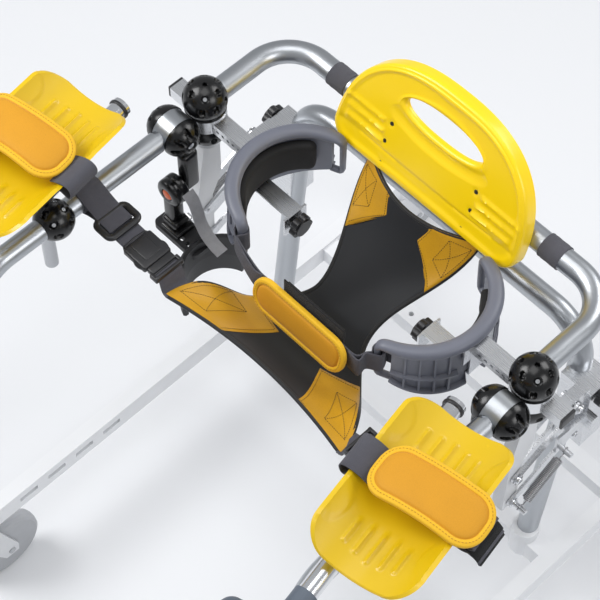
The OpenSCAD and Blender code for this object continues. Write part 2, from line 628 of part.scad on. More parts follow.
trough_r = (gutter_w * gutter_w / 4 + gutter_deep * gutter_deep) / (2 * gutter_deep);
module gutter_plan(grow) union() {
    r = 34;
    translate([-gutter_w / 2 - grow, -gutter_len / 2 - grow + r]) square([gutter_w + 2 * grow,
        gutter_len + 2 * grow - 2 * r]);
    translate([-gutter_w / 2 - grow + r, -gutter_len / 2 - grow]) square([gutter_w + 2 * grow - 2 * r,
        gutter_len + 2 * grow]);
    for (x = SIDES, y = SIDES) translate([x * (gutter_w / 2 + grow - r),
        y * (gutter_len / 2 + grow - r)]) circle(r = r, $fn = 48);
}
module gutter(s) color(yellow) on_gutter(s) translate([0, 0, block_top]) {
    intersection() {
        difference() {
            along_y([0, 0, trough_r], gutter_len + 20, trough_r);
            along_y([0, 0, trough_r], gutter_len + 30, trough_r - gutter_wall);
            translate([-200, -200, gutter_deep]) cube([400, 400, 400]);
        }
        linear_extrude(gutter_deep) gutter_plan(0);
    }
    for (x = [-2:2]) {
        a = 11 * x;
        translate([(trough_r - gutter_wall) * sin(a), 0, trough_r - (trough_r - gutter_wall) * cos(a)])
            along_y([0, -14, 0.6], 150, 2.4);
    }
}
pad_len = 160;
pad_w = 78;
pad_t = 9;
pad_x = [17, 22];
function pad_at(s) = pad_x[s > 0 ? 1 : 0];
pad_y = 3;
arch_r = 220;
pad_a = asin(pad_len / 2 / arch_r);
pad_top = block_top + gutter_deep + 22;
module gutter_pad(s) color("#f2a81d") on_gutter(s) translate([0, pad_y, 0]) {
    translate([s * pad_at(s), 0, pad_top - arch_r]) rotate([90, 0, 0]) rotate([0, 0, 90 - pad_a])
        rotate_extrude(angle = 2 * pad_a, $fn = 96)
            polygon([[arch_r - pad_t, -pad_w / 2 + 5], [arch_r - 5, -pad_w / 2], [arch_r - 1,
                -pad_w / 2 + 6],
                [arch_r, 0], [arch_r - 1, pad_w / 2 - 6], [arch_r - 5, pad_w / 2], [arch_r - pad_t,
                    pad_w / 2 - 5]]);
    for (x = SIDES) gutter_web(s, x);
}
// Webbing from under each end of the pad round the gutter's edge, x is 1 on the outer side
gutter_web_w = 50;
web_r = trough_r + web_t / 2 + soft_gap;
web_ends = [[[-70, 874.6], [-78, 878.6], [-85, 882.2]], [[70, 880.4], [69, 874]]];
web_inner = [[-72.5, 883], [-76.4, 880.6], [-76.6, 876]];
web_outer = [[85, 867.5], [78, 863.8], [66, 862.5]];
module gutter_web(s, x) sweep(rounded([for (p = concat([for (q = web_ends[x > 0 ? 1 : 0])
    [q[0] + pad_at(s), q[1]]], x > 0 ? web_outer : web_inner,
        [for (i = [0:3]) let (a = (x > 0 ? 30 : 42) - 5 * i) [x * web_r * sin(a),
            block_top + trough_r - web_r * cos(a)]]))
        [s * p[0], 0, p[1]]], 3, 2), strip(gutter_web_w, web_t), [0, 0, 1]);
// An upright grip leaning forwards and inwards from a sleeve on the rod
sleeve_back = 50;
grip_lean = [21, 22];
module handgrip(s) color("#4b4e57") on_gutter(s) translate([-s * rod_in(s), -rod_front, rod_z])
    difference() {
    union() {
        along_y([0, (sleeve_back - 22) / 2, 0], sleeve_back + 22, rod_r + 3);
        translate([0, -10, 0]) rotate([grip_lean[0], -s * grip_lean[1], 0]) {
            cylinder(r = grip_r, h = grip_len, $fn = 64);
            translate([0, 0, grip_len]) sphere(r = grip_r, $fn = 64);
            sphere(r = grip_r, $fn = 64);
        }
    }
    along_y([0, 50, 0], 100, rod_r + pin_play);
}

// Thigh guides
hub = [frame_half - 26, -88, loop_z - 98];
module thigh_brackets() color(black) for (s = SIDES) difference() {
    translate([s * hub[0] - 9, -72, hub[2] - 14]) cube([18, 28, tilt_z - tilt_r - hub[2] + 24]);
    translate([s * frame_half, -tilt_y, tilt_z]) sphere(r = tilt_r, $fn = 64);
    along_y([s * hub[0], -60, hub[2]], 60, 6 + pin_play);
}
cuff_pivot = [frame_half - 34, -90, loop_z - 176];
module thigh_arm(s) color(black) difference() {
    union() {
        along_y([s * hub[0], -86, hub[2]], 26, 21);
        along_y([s * hub[0], -66, hub[2]], 40, 6);
        translate([s * hub[0] - 12, -99, cuff_pivot[2] + 5]) cube([24, 22, hub[2] - cuff_pivot[2]]);
        translate([s * cuff_pivot[0], cuff_pivot[1], cuff_pivot[2] + 4]) slab(36, 34, 8, 8);
    }
    translate([s * cuff_pivot[0], cuff_pivot[1], cuff_pivot[2] - 20]) cylinder(r = 5 + pin_play, h = 40,
        $fn = 32);
    along_y([s * hub[0], -99, hub[2]], 6, 9);
}
cuff_c = [frame_half - 133, -100];
module thigh_cuff(s) color("#202124") {
    difference() {
        translate([s * (cuff_pivot[0] - 11), cuff_pivot[1], cuff_pivot[2] - 6]) slab(84, 38, 9.5, 9);
        for (i = [0:1]) translate([s * (cuff_pivot[0] - 17 - 15 * i), cuff_pivot[1] - 9,
            cuff_pivot[2] - 8]) slab(9, 6, 20, 2);
    }
    translate([s * cuff_pivot[0], cuff_pivot[1], cuff_pivot[2]]) cylinder(r = 5, h = 14, $fn = 32);
    translate([s * cuff_c[0], cuff_c[1], cuff_pivot[2] - 62]) rotate([0, 0, s > 0 ? -72 : 108])
        rotate_extrude(angle = 144, $fn = 64) polygon([[52, 2], [56, 0], [60, 4], [61, 40], [60, 76], [56,
            80], [52, 78], [50, 40]]);
}

// Sling saddle: one curved sheet with four corner lobes
sling_back = 119;
sling_front = -222;
sling_rear_z = 759;
sling_front_z = 752;
rows = 22;
cols = 14;
function ease(t) = t * t * (3 - 2 * t);
function sling_half(u) = u < 0.42 ? sling_back_half + (sling_waist_half - sling_back_half) * ease(u / 0.42)
    : sling_waist_half + (sling_front_half - sling_waist_half) * ease((u - 0.42) / 0.58);
function sling_drop(u) = sling_low + (u < 0.45 ? (sling_rear_z - sling_low) * pow(1 - u / 0.45, 1.6)
    : (sling_front_z - sling_low) * pow((u - 0.45) / 0.55, 1.5));
function sling_point(u, v) = let (a = abs(v), end = 34 * (1 - a * a) * (pow(1 - u, 6) - 0.5 * pow(u, 6)))
    [v * sling_half(u) + sling_shift * ease(max(0, u - 0.3) / 0.7),
        sling_back + (sling_front - sling_back) * u - end,
     sling_drop(u) + 14 * a * a * sin(180 * u)];
module sling() color("#3b4047") {
    k = cols + 1;
    top = [for (i = [0:rows], j = [0:cols]) sling_point(i / rows, 2 * j / cols - 1)];
    low = [for (p = top) p - [0, 0, sling_t]];
    n = len(top);
    polyhedron(concat(top, low), concat(
        [for (i = [0:rows - 1], j = [0:cols - 1]) let (a = i * k + j, b = a + 1, c = a + k, d = c + 1)
            each [[a, c, b], [b, c, d]]],
        [for (i = [0:rows - 1], j = [0:cols - 1]) let (a = n + i * k + j, b = a + 1, c = a + k,
            d = c + 1) each [[a, b, c], [b, d, c]]],
        [for (i = [0:rows - 1], e = [0, cols]) let (a = i * k + e, c = a + k) each (e == 0
            ? [[a, a + n, c], [c, a + n, c + n]] : [[a, c, a + n], [c, c + n, a + n]])],
        [for (j = [0:cols - 1], e = [0, rows]) let (a = e * k + j, b = a + 1) each (e == 0
            ? [[a, b, a + n], [b, b + n, a + n]] : [[a, a + n, b], [b, a + n, b + n]])]), convexity = 6);
}
strap_y = -205;
tri_x = frame_half - 57;
buckle_gap = 46.5;
function corner_at(s) = sling_front_half + s * sling_shift;
function buckle_at(s) = corner_at(s) + buckle_gap;
// Distances from a buckle's middle at which the straps end
strap_end = [33.5, 34.1];
tail_end = 34.3;
module sling_strap(s) color(webbing) {
    difference() {
        along_y([s * frame_half, strap_y, arm_z], web_w, arm_r + soft_gap + web_t);
        along_y([s * frame_half, strap_y, arm_z], web_w + 2, arm_r + soft_gap);
    }
    start = [s * (frame_half - arm_r - soft_gap - web_t / 2 - 1), strap_y, arm_z + 2];
    end = [s * (buckle_at(s) + strap_end[s > 0 ? 1 : 0]), strap_y, arm_z - 9];
    sweep(s < 0 ? [start, [s * (tri_x + 20), strap_y, arm_z + 1], [s * tri_x, strap_y, arm_z - 2],
        end] : [start, end],
        strip(web_w, web_t), [0, 0, 1]);
    sweep([[s * (buckle_at(s) - tail_end), strap_y, arm_z - 12], [s * (corner_at(s) + 1.2), strap_y,
        sling_front_z - 3]],
        strip(web_w, web_t), [0, 0, 1]);
}
module sling_buckles() color(black) {
    for (s = SIDES) translate([s * buckle_at(s), strap_y, arm_z - 18]) {
        slab(66, 50, 13, 7);
        translate([0, 0, 13 - eps]) slab(40, 34, 3, 5);
    }
    difference() {
        translate([-tri_x, strap_y, arm_z - 9]) slab(26, web_w + 10, 14, 4);
        translate([-tri_x - 20, strap_y - web_w / 2 - 0.5, arm_z - 6.6]) cube([40, web_w + 1, 9.2]);
    }
}

// Front strap of the trunk support with its pad
strap_z = trunk_z - 30;
front_y = -120;
// A point beside the front loop of the left shell, by its offsets across and along the wall
function by_loop(across,
    along) = let (a = -trunk_a) [trunk_c + (trunk_r + across) * cos(a) + along * sin(a),
    (trunk_r + across) * sin(a) - along * cos(a), strap_z];
strap_bend = web_t / 2 + 1;
strap_off = web_t / 2 + soft_gap;
function strap_route(s, inner) = [for (p = [by_loop(-6, 18 - strap_off), by_loop(rim_r + strap_off,
    18 - strap_off),
    by_loop(rim_r + strap_off, 32),
    [front_pad_w / 2 + s * front_pad_x + 6, front_y, strap_z - 2], [inner, front_y,
        strap_z - 2]]) [s * p[0], p[1], p[2]]];
// The strap runs behind the pad from the right shell; a wedge of hook tape leans the pad back
module front_strap_right() {
    color(webbing) sweep(rounded(strap_route(RIGHT, -strap_join), strap_bend, 3),
        strip(web_w, web_t), [0, -1, 0]);
    color(black) translate([front_pad_x - tape_len / 2, front_y, strap_z - 2]) rotate([90, 0, 90])
        linear_extrude(tape_len)
        polygon([[-web_t / 2, -20], [-web_t / 2, 22], [-web_t / 2 - 1.5, 22],
            [-web_t / 2 - 1.5 - 42 * tan(pad_lean), -20]]);
    color("#f2a81d") translate([front_pad_x, front_y - web_t / 2 - 1.5, strap_z + 20]) rotate([-pad_lean,
        0, 0])
        translate([0, 0, -22]) front_pad();
}
front_pad_x = 22;
pad_lean = 14;
tape_len = 104;
front_pad_w = 162;
strap_join = front_pad_w / 2 + front_pad_x - 20;
front_pad_h = 58;
front_pad_t = 11;
front_pad_round = 24;
module pad_plan(w, h, r) {
    square([w - 2 * r, h], center = true);
    square([w, h - 2 * r], center = true);
    for (x = SIDES, y = SIDES) translate([x * (w / 2 - r), y * (h / 2 - r)]) circle(r = r, $fn = 32);
}
module front_pad() rotate([90, 0, 0]) {
    linear_extrude(front_pad_t - 4) pad_plan(front_pad_w, front_pad_h, front_pad_round);
    translate([0, 0, front_pad_t - 4 - eps]) linear_extrude(2.5) pad_plan(front_pad_w - 5,
        front_pad_h - 5, front_pad_round - 3);
    translate([0, 0, front_pad_t - 1.5 - 2 * eps]) linear_extrude(1.5)
        pad_plan(front_pad_w - 18, front_pad_h - 18, front_pad_round - 9);
}
module front_strap_left() color(webbing)
    sweep(rounded(strap_route(LEFT, strap_join + fit), strap_bend, 3), strip(web_w,
        web_t), [0, -1, 0]);

base_frame();
rear_arch();
spring_posts();
preload_knob(RIGHT);  // preload_knob_right
preload_knob(LEFT);  // preload_knob_left
castor_fork(RIGHT, -base_front);  // castor_fork_front_right
castor_fork(LEFT, -base_front);  // castor_fork_front_left
castor_fork(RIGHT, base_back);  // castor_fork_rear_right
castor_fork(LEFT, base_back);  // castor_fork_rear_left
castor_wheel(RIGHT, -base_front);  // castor_wheel_front_right
castor_wheel(LEFT, -base_front);  // castor_wheel_front_left
castor_wheel(RIGHT, base_back);  // castor_wheel_rear_right
castor_wheel(LEFT, base_back);  // castor_wheel_rear_left
brake_pedal(RIGHT);  // brake_pedal_right
brake_pedal(LEFT);  // brake_pedal_left
link(RIGHT, 0, 0);  // upper_link_right
link(LEFT, 0, 0);  // upper_link_left
link(RIGHT, link_gap, spring_reach);  // lower_link_right
link(LEFT, link_gap, spring_reach);  // lower_link_left
spring(RIGHT);  // spring_right
spring(LEFT);  // spring_left
upper_loop();
loop_sleeves();
back_panel();
panel_screws();
clamp_shells();
corner_bands();
carriers();
sling();
sling_strap(RIGHT);  // sling_strap_right
sling_strap(LEFT);  // sling_strap_left
sling_buckles();
front_strap_right();
front_strap_left();
armrest_tube(RIGHT);  // armrest_tube_right
armrest_tube(LEFT);  // armrest_tube_left
gutter_ball(RIGHT);  // gutter_ball_right
gutter_ball(LEFT);  // gutter_ball_left
gutter_post(RIGHT);  // gutter_post_right
gutter_post(LEFT);  // gutter_post_left
gutter_rod(RIGHT);  // gutter_rod_right
gutter_rod(LEFT);  // gutter_rod_left
gutter(RIGHT);  // gutter_right
gutter(LEFT);  // gutter_left
gutter_pad(RIGHT);  // gutter_pad_right
gutter_pad(LEFT);  // gutter_pad_left
handgrip(RIGHT);  // handgrip_right
handgrip(LEFT);  // handgrip_left
trunk_bar(RIGHT);  // trunk_bar_right
trunk_bar(LEFT);  // trunk_bar_left
trunk_shell(RIGHT);  // trunk_shell_right
trunk_shell(LEFT);  // trunk_shell_left
trunk_pad(RIGHT);  // trunk_pad_right
trunk_pad(LEFT);  // trunk_pad_left
trunk_knob(RIGHT);  // trunk_knob_right
trunk_knob(LEFT);  // trunk_knob_left
thigh_arm(RIGHT);  // thigh_arm_right
thigh_arm(LEFT);  // thigh_arm_left
thigh_cuff(RIGHT);  // thigh_cuff_right
thigh_cuff(LEFT);  // thigh_cuff_left
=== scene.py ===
"""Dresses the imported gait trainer: moulded panel and gutters, padded straps, a
neoprene sling, webbing, springs and the finish of every solid in the frame."""

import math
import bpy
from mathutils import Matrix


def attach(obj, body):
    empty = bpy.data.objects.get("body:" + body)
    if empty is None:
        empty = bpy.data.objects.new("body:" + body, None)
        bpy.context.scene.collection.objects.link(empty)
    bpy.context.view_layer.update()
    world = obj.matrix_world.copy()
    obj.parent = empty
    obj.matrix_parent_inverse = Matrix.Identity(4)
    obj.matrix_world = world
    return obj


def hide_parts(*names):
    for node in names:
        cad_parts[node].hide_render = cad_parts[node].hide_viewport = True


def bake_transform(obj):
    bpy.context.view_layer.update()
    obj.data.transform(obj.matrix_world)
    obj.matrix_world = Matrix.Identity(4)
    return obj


bl_info = {
    "name": "Gait Trainer",
    "version": (1, 0, 0),
    "blender": (4, 5, 0),
    "location": "View3D > Sidebar > Gait Trainer",
    "description": "Builds the looks of a wheeled gait trainer over its packed frame",
    "category": "Add Mesh",
}

import bmesh
import bpy
from bpy.props import FloatProperty, FloatVectorProperty, IntProperty, PointerProperty
from mathutils import Matrix, Vector

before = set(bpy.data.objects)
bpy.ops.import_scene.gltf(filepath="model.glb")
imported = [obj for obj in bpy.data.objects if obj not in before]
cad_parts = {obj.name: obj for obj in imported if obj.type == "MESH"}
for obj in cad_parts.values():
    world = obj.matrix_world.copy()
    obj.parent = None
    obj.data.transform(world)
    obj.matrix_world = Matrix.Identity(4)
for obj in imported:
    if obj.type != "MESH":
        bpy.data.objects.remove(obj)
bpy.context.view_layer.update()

RIGHT, LEFT = -1, 1
SIDES = {"right": RIGHT, "left": LEFT}
finishes = {}


# User values
class GaitSizes(bpy.types.PropertyGroup):
    """Sizes in metres that a user may change."""

    web_width: FloatProperty(
        name="Sling webbing", description="Width of the sling's webbing",
        default=0.038, min=0.025, max=0.04, subtype="DISTANCE", unit="LENGTH")
    web_thick: FloatProperty(
        name="Webbing thickness", description="Thickness of all webbing",
        default=0.002, min=0.0015, max=0.0025, subtype="DISTANCE", unit="LENGTH")
    stitch_pitch: FloatProperty(
        name="Stitch pitch", description="Distance from one stitch to the next",
        default=0.0042, min=0.003, max=0.008, subtype="DISTANCE", unit="LENGTH")
    weave_pitch: FloatProperty(
        name="Weave pitch", description="Distance between two ribs of the webbing",
        default=0.0022, min=0.001, max=0.004, subtype="DISTANCE", unit="LENGTH")
    wire_sides: IntProperty(
        name="Wire sides", description="Sides of each spring's wire", default=10, min=6, max=16)


def paint(name, words, colour):
    return FloatVectorProperty(
        name=name, description=words, default=colour, subtype="COLOR", size=3, min=0, max=1)


class GaitColours(bpy.types.PropertyGroup):
    """Colours that a user may change."""

    panel: paint("Panel yellow", "Moulded back panel", (0.99, 0.67, 0.002))
    # The gutters' yellow is the panel's plastic painted darker: painted shade, because the gutters face up
    # into the top lights
    gutter: paint("Gutter yellow", "Moulded forearm gutters", (0.67, 0.445, 0.0025))
    pad: paint("Pad orange", "Face of the neoprene pads", (0.64, 0.29, 0.004))
    border: paint("Pad border", "Border band of the neoprene pads", (0.80, 0.46, 0.010))
    leather: paint("Leather ochre", "Corner patches of the sling", (0.59, 0.30, 0.0045))
    sling: paint("Sling slate", "Neoprene of the sling", (0.0078, 0.009, 0.0118))
    webbing: paint("Webbing grey", "Woven straps", (0.076, 0.076, 0.094))
    shell: paint("Shell slate", "Trunk supports", (0.135, 0.143, 0.178))
    tube: paint("Tube silver", "Bent frame tubes", (0.47, 0.49, 0.515))


# Shader parts
# Pointiness range of the high edges that are painted paler, partly as wear and partly as a painted highlight
EDGE_LIT_FROM, EDGE_LIT_TO = 0.52, 0.60
FUZZ_SIZE, FUZZ_SHARE, PEBBLE_SHARE, LINE_SHARE = 130.0, 0.35, 0.12, 0.05
SKIN_PATCHES, METAL_PATCHES = 22.0, 14.0


def node(tree, kind, inputs=(), **settings):
    """Adds a node, sets its settings, and links or sets its inputs."""
    made = tree.nodes.new(kind)
    for key, value in settings.items():
        setattr(made, key, value)
    for key, value in dict(inputs).items():
        if isinstance(value, bpy.types.NodeSocket):
            tree.links.new(value, made.inputs[key])
        else:
            made.inputs[key].default_value = value
    return made


def maths(tree, how, a, b=0.0):
    return node(tree, "ShaderNodeMath", {0: a, 1: b}, operation=how).outputs[0]


def noise(tree, place, scale, detail):
    return node(tree, "ShaderNodeTexNoise", {"Vector": place, "Scale": scale, "Detail": detail}).outputs[0]


def about_one(tree, swing, share):
    """A factor that swings round 1 by the share."""
    return maths(tree, "ADD", 1.0, maths(tree, "MULTIPLY", swing, share))


def put_out(tree, enter, leave, factor, **others):
    """Sends the group's colour, scaled by the factor, and its other results to the exit."""
    tone = node(tree, "ShaderNodeVectorMath", {0: enter.outputs["Colour"], "Scale": factor},
                operation="SCALE")
    for key, socket in dict(others, Colour=tone.outputs[0]).items():
        tree.links.new(socket, leave.inputs[key])


def new_group(name, inputs, outputs):
    """A shader group with its sockets; returns the tree, its entry and its exit node."""
    tree = bpy.data.node_groups.new(name, "ShaderNodeTree")
    for label, kind, value in inputs:
        socket = tree.interface.new_socket(label, in_out="INPUT", socket_type="NodeSocket" + kind)
        if value is not None:
            socket.default_value = value
    for label, kind in outputs:
        tree.interface.new_socket(label, in_out="OUTPUT", socket_type="NodeSocket" + kind)
    return tree, tree.nodes.new("NodeGroupInput"), tree.nodes.new("NodeGroupOutput")


def make_grain_group():
    """Moulded grain: fine bumps, soft patches of tone, and high edges painted paler, partly as wear and
    partly as a painted highlight.
    """
    tree, enter, leave = new_group(
        "Moulded grain",
        [("Colour", "Color", (0.5, 0.5, 0.5, 1)), ("Grain size", "Float", 0.0012),
         ("Patch size", "Float", 0.05), ("Patch strength", "Float", 0.06), ("Roughness", "Float", 0.4),
         ("Roughness spread", "Float", 0.08), ("Edge wear and painted highlight", "Float", 0.2)],
        [("Colour", "Color"), ("Roughness", "Float"), ("Height", "Float")])
    given = enter.outputs
    place = node(tree, "ShaderNodeTexCoord").outputs["Object"]
    fine = noise(tree, place, maths(tree, "DIVIDE", 1.0, given["Grain size"]), 2.0)
    patch = noise(tree, place, maths(tree, "DIVIDE", 1.0, given["Patch size"]), 3.0)
    swing = maths(tree, "SUBTRACT", patch, 0.5)
    # High edges are painted paler: partly wear, partly a painted highlight where light would catch them
    edge = node(tree, "ShaderNodeMapRange",
                {"Value": node(tree, "ShaderNodeNewGeometry").outputs["Pointiness"],
                 "From Min": EDGE_LIT_FROM, "From Max": EDGE_LIT_TO})
    worn_and_lit_edge = maths(tree, "MULTIPLY", edge.outputs[0], maths(tree, "MULTIPLY", given["Edge wear and painted highlight"], fine))
    factor = maths(tree, "ADD", about_one(tree, swing, given["Patch strength"]), worn_and_lit_edge)
    spread = maths(tree, "MULTIPLY", swing, given["Roughness spread"])
    put_out(tree, enter, leave, factor, Roughness=maths(tree, "ADD", given["Roughness"], spread), Height=fine)
    return tree


def make_weave_group():
    """Woven webbing: rows of small raised yarns laid over and under, from the strap's own cut map; painted
    shade in the hollows between yarns, painted highlight on their crests.
    """
    tree, enter, leave = new_group(
        "Woven yarns",
        [("Colour", "Color", (0.5, 0.5, 0.5, 1)), ("Pitch", "Float", 0.0022), ("Contrast", "Float", 0.5)],
        [("Colour", "Color"), ("Height", "Float")])
    cut = node(tree, "ShaderNodeUVMap", uv_map="cut")
    split = node(tree, "ShaderNodeSeparateXYZ", {0: cut.outputs[0]})
    turn = maths(tree, "DIVIDE", 2 * math.pi, enter.outputs["Pitch"])
    along = maths(tree, "SINE", maths(tree, "MULTIPLY", split.outputs[0], turn))
    across = maths(tree, "SINE", maths(tree, "MULTIPLY", split.outputs[1], turn))
    over = maths(tree, "GREATER_THAN", maths(tree, "MULTIPLY", along, across), 0.0)
    warp = maths(tree, "MULTIPLY", over, maths(tree, "ABSOLUTE", across))
    weft = maths(tree, "MULTIPLY", maths(tree, "SUBTRACT", 1.0, over), maths(tree, "ABSOLUTE", along))
    height = maths(tree, "ADD", warp, weft)
    fuzz = noise(tree, node(tree, "ShaderNodeTexCoord").outputs["Object"], FUZZ_SIZE, 3.0)
    fuzz = maths(tree, "MULTIPLY", maths(tree, "SUBTRACT", fuzz, 0.5), FUZZ_SHARE)
    # Colour follows the yarns' height: painted shade in the hollows between yarns, painted highlight on their
    # crests
    lift = about_one(tree, maths(tree, "SUBTRACT", height, 0.5), enter.outputs["Contrast"])
    put_out(tree, enter, leave, maths(tree, "ADD", lift, fuzz), Height=height)
    return tree


def make_knit_group():
    """Neoprene or leather skin: pebbles of one size with slow patches of tone."""
    tree, enter, leave = new_group(
        "Soft skin",
        [("Colour", "Color", (0.5, 0.5, 0.5, 1)), ("Pebble", "Float", 0.0015),
         ("Patch strength", "Float", 0.2)],
        [("Colour", "Color"), ("Height", "Float")])
    place = node(tree, "ShaderNodeTexCoord").outputs["Object"]
    pebble = node(tree, "ShaderNodeTexVoronoi",
                  {"Vector": place, "Scale": maths(tree, "DIVIDE", 1.0, enter.outputs["Pebble"])}).outputs[0]
    swing = maths(tree, "SUBTRACT", noise(tree, place, SKIN_PATCHES, 4.0), 0.5)
    factor = about_one(tree, swing, enter.outputs["Patch strength"])
    factor = maths(tree, "SUBTRACT", factor, maths(tree, "MULTIPLY", pebble, PEBBLE_SHARE))
    put_out(tree, enter, leave, factor, Height=pebble)
    return tree


def make_brush_group():
    """Drawn metal: fine lines along one axis, with rubbed patches."""
    tree, enter, leave = new_group(
        "Drawn metal",
        [("Colour", "Color", (0.6, 0.6, 0.6, 1)), ("Stretch", "Vector", (20.0, 900.0, 900.0)),
         ("Roughness", "Float", 0.3), ("Roughness spread", "Float", 0.12)],
        [("Colour", "Color"), ("Roughness", "Float"), ("Height", "Float")])
    place = node(tree, "ShaderNodeTexCoord").outputs["Object"]
    drawn = node(tree, "ShaderNodeVectorMath", {0: place, 1: enter.outputs["Stretch"]}, operation="MULTIPLY")
    lines = noise(tree, drawn.outputs[0], 1.0, 2.0)
    patch = noise(tree, place, METAL_PATCHES, 3.0)
    swing = maths(tree, "SUBTRACT", maths(tree, "ADD", lines, patch), 1.0)
    spread = maths(tree, "MULTIPLY", swing, enter.outputs["Roughness spread"])
    put_out(tree, enter, leave, about_one(tree, swing, LINE_SHARE),
            Roughness=maths(tree, "ADD", enter.outputs["Roughness"], spread), Height=lines)
    return tree


def new_finish(name, group, values, bump, **shader):
    """A material: one group feeds one Principled BSDF, and the constants sit on its own sockets."""
    material = bpy.data.materials.new(name)
    material.use_nodes = True
    tree = material.node_tree
    tree.nodes.clear()
    skin = node(tree, "ShaderNodeGroup", node_tree=group)
    for key, value in values.items():
        skin.inputs[key].default_value = (*value, 1) if key == "Colour" else value
    surface = tree.nodes.new("ShaderNodeBsdfPrincipled")
    for key, value in shader.items():
        surface.inputs[key.replace("_", " ")].default_value = value
    tree.links.new(skin.outputs["Colour"], surface.inputs["Base Color"])
    if "Roughness" in skin.outputs:
        tree.links.new(skin.outputs["Roughness"], surface.inputs["Roughness"])
    relief = node(tree, "ShaderNodeBump",
                  {"Strength": bump[0], "Distance": bump[1], "Height": skin.outputs["Height"]})
    tree.links.new(relief.outputs[0], surface.inputs["Normal"])
    leave = tree.nodes.new("ShaderNodeOutputMaterial")
    tree.links.new(surface.outputs[0], leave.inputs[0])
    finishes[name] = material


def make_finishes(colours):
    """Every finish. A bump is (strength, depth in metres)."""
    grain, weave, knit, brush = make_grain_group(), make_weave_group(), make_knit_group(), make_brush_group()
    pitch = bpy.context.scene.gait_sizes.weave_pitch

    def moulded(name, colour, rough, bump=(0.06, 0.0002), edge_wear_and_highlight=0.15, patch=0.06, size=0.0012, **more):
        new_finish(name, grain, {"Colour": colour, "Roughness": rough, "Edge wear and painted highlight": edge_wear_and_highlight,
                                 "Patch strength": patch, "Grain size": size}, bump, **more)

    def metal(name, colour, rough, stretch=(20, 900, 900), bump=(0.08, 0.0001)):
        new_finish(name, brush, {"Colour": colour, "Roughness": rough, "Stretch": stretch}, bump,
                   Metallic=1.0)

    def woven(name, colour, yarn_shading=0.8, size=pitch):
        new_finish(name, weave, {"Colour": colour, "Pitch": size, "Contrast": yarn_shading},
                   (0.9, 0.0007), Roughness=0.85, Sheen_Weight=0.1, Sheen_Roughness=0.5)

    def skinned(name, colour, rough, pebble=0.0015, bump=(0.25, 0.0003), patch=0.2, sheen=0.2):
        new_finish(name, knit, {"Colour": colour, "Pebble": pebble, "Patch strength": patch}, bump,
                   Roughness=rough, Sheen_Weight=sheen, Sheen_Roughness=0.4)

    # Plastics and paints: roughness, bump, paler high edges (wear and painted highlight), strength of the
    # patches, size of the grain
    moulded("panel yellow", colours.panel, 0.30, edge_wear_and_highlight=0.1, patch=0.05, Coat_Weight=0.25, Coat_Roughness=0.15)
    # A darker copy of the panel's yellow, painted shade for the upward-facing gutters
    moulded("gutter yellow", colours.gutter, 0.33, edge_wear_and_highlight=0.1, patch=0.05, Coat_Weight=0.2, Coat_Roughness=0.2)
    moulded("black gloss", (0.003, 0.003, 0.0035), 0.24, (0.04, 0.0001), 0.2, 0.3)
    moulded("black satin", (0.014, 0.014, 0.016), 0.38, (0.12, 0.0002), 0.5, 0.3)
    moulded("cuff black", (0.012, 0.012, 0.014), 0.55, (0.2, 0.0003), 0.3, 0.3, 0.0008)
    moulded("foam black", (0.010, 0.010, 0.011), 0.85, (0.5, 0.0005), 0.3, 0.3, 0.0009)
    moulded("white paint", (0.80, 0.81, 0.83), 0.35, (0.05, 0.0002), 0.02, 0.03, 0.003)
    moulded("grey paint", (0.66, 0.67, 0.69), 0.35, (0.05, 0.0002), 0.05, 0.04, 0.003)
    moulded("tyre grey", (0.42, 0.43, 0.45), 0.6, (0.3, 0.0004), 0.4, 0.3, 0.0015)
    moulded("hub grey", (0.55, 0.56, 0.58), 0.4, (0.1, 0.0002), 0.05, 0.05)
    moulded("brake red", (0.45, 0.03, 0.025), 0.4, (0.1, 0.0002), 0.3, 0.1)
    moulded("shell slate", colours.shell, 0.42, (0.10, 0.0002), 0.25, 0.10)
    moulded("grip slate", (0.085, 0.105, 0.135), 0.45, (0.15, 0.0002), 0.25, 0.10)
    moulded("hub orange", (0.75, 0.12, 0.02), 0.4, (0.1, 0.0002), 0.2, 0.1)
    # Metals: roughness, then how many lines a metre the drawing leaves along each axis
    metal("tube silver", colours.tube, 0.34)
    metal("turned aluminium", (0.74, 0.75, 0.77), 0.22, (900, 900, 30))
    metal("bar aluminium", (0.70, 0.71, 0.73), 0.28)
    metal("chrome", (0.80, 0.81, 0.83), 0.17, (40, 40, 40), (0.0, 0.0001))
    metal("bolt chrome", (0.72, 0.73, 0.75), 0.16, (300, 300, 300))
    metal("spring steel", (0.42, 0.42, 0.43), 0.24, (300, 300, 300))
    metal("dark steel", (0.10, 0.10, 0.105), 0.42, (300, 300, 300))
    metal("post steel", (0.46, 0.47, 0.49), 0.30, (900, 900, 30))
    # Soft skins: roughness, size of the pebbles, bump, strength of the patches, sheen
    skinned("sling neoprene", colours.sling, 0.7, 0.0012, (0.15, 0.0002), 0.35, 0.06)
    skinned("binding black", (0.010, 0.010, 0.011), 0.7, 0.0010, (0.3, 0.0003), 0.3, 0.2)
    skinned("leather ochre", colours.leather, 0.48, 0.0016, (0.35, 0.0004), 0.3, 0.1)
    skinned("pad face", colours.pad, 0.70, 0.0009, (0.2, 0.0003), 0.12, 0.12)
    skinned("pad border", colours.border, 0.72, 0.0009, (0.2, 0.0003), 0.10, 0.12)
    skinned("thread amber", (0.45, 0.20, 0.01), 0.8, 0.0008)
    skinned("thread dark", (0.06, 0.035, 0.01), 0.8, 0.0008)
    skinned("hook tape", (0.008, 0.008, 0.009), 0.95, 0.0007, (0.8, 0.0008), 0.4, 0.1)
    # Webbings: strength of the painted shade and highlight on the yarns, size of the weave
    woven("webbing grey", colours.webbing)
    woven("webbing pale", (0.42, 0.42, 0.44), 0.4)
    woven("sleeve grey", (0.095, 0.095, 0.115), 0.5, 0.0018)


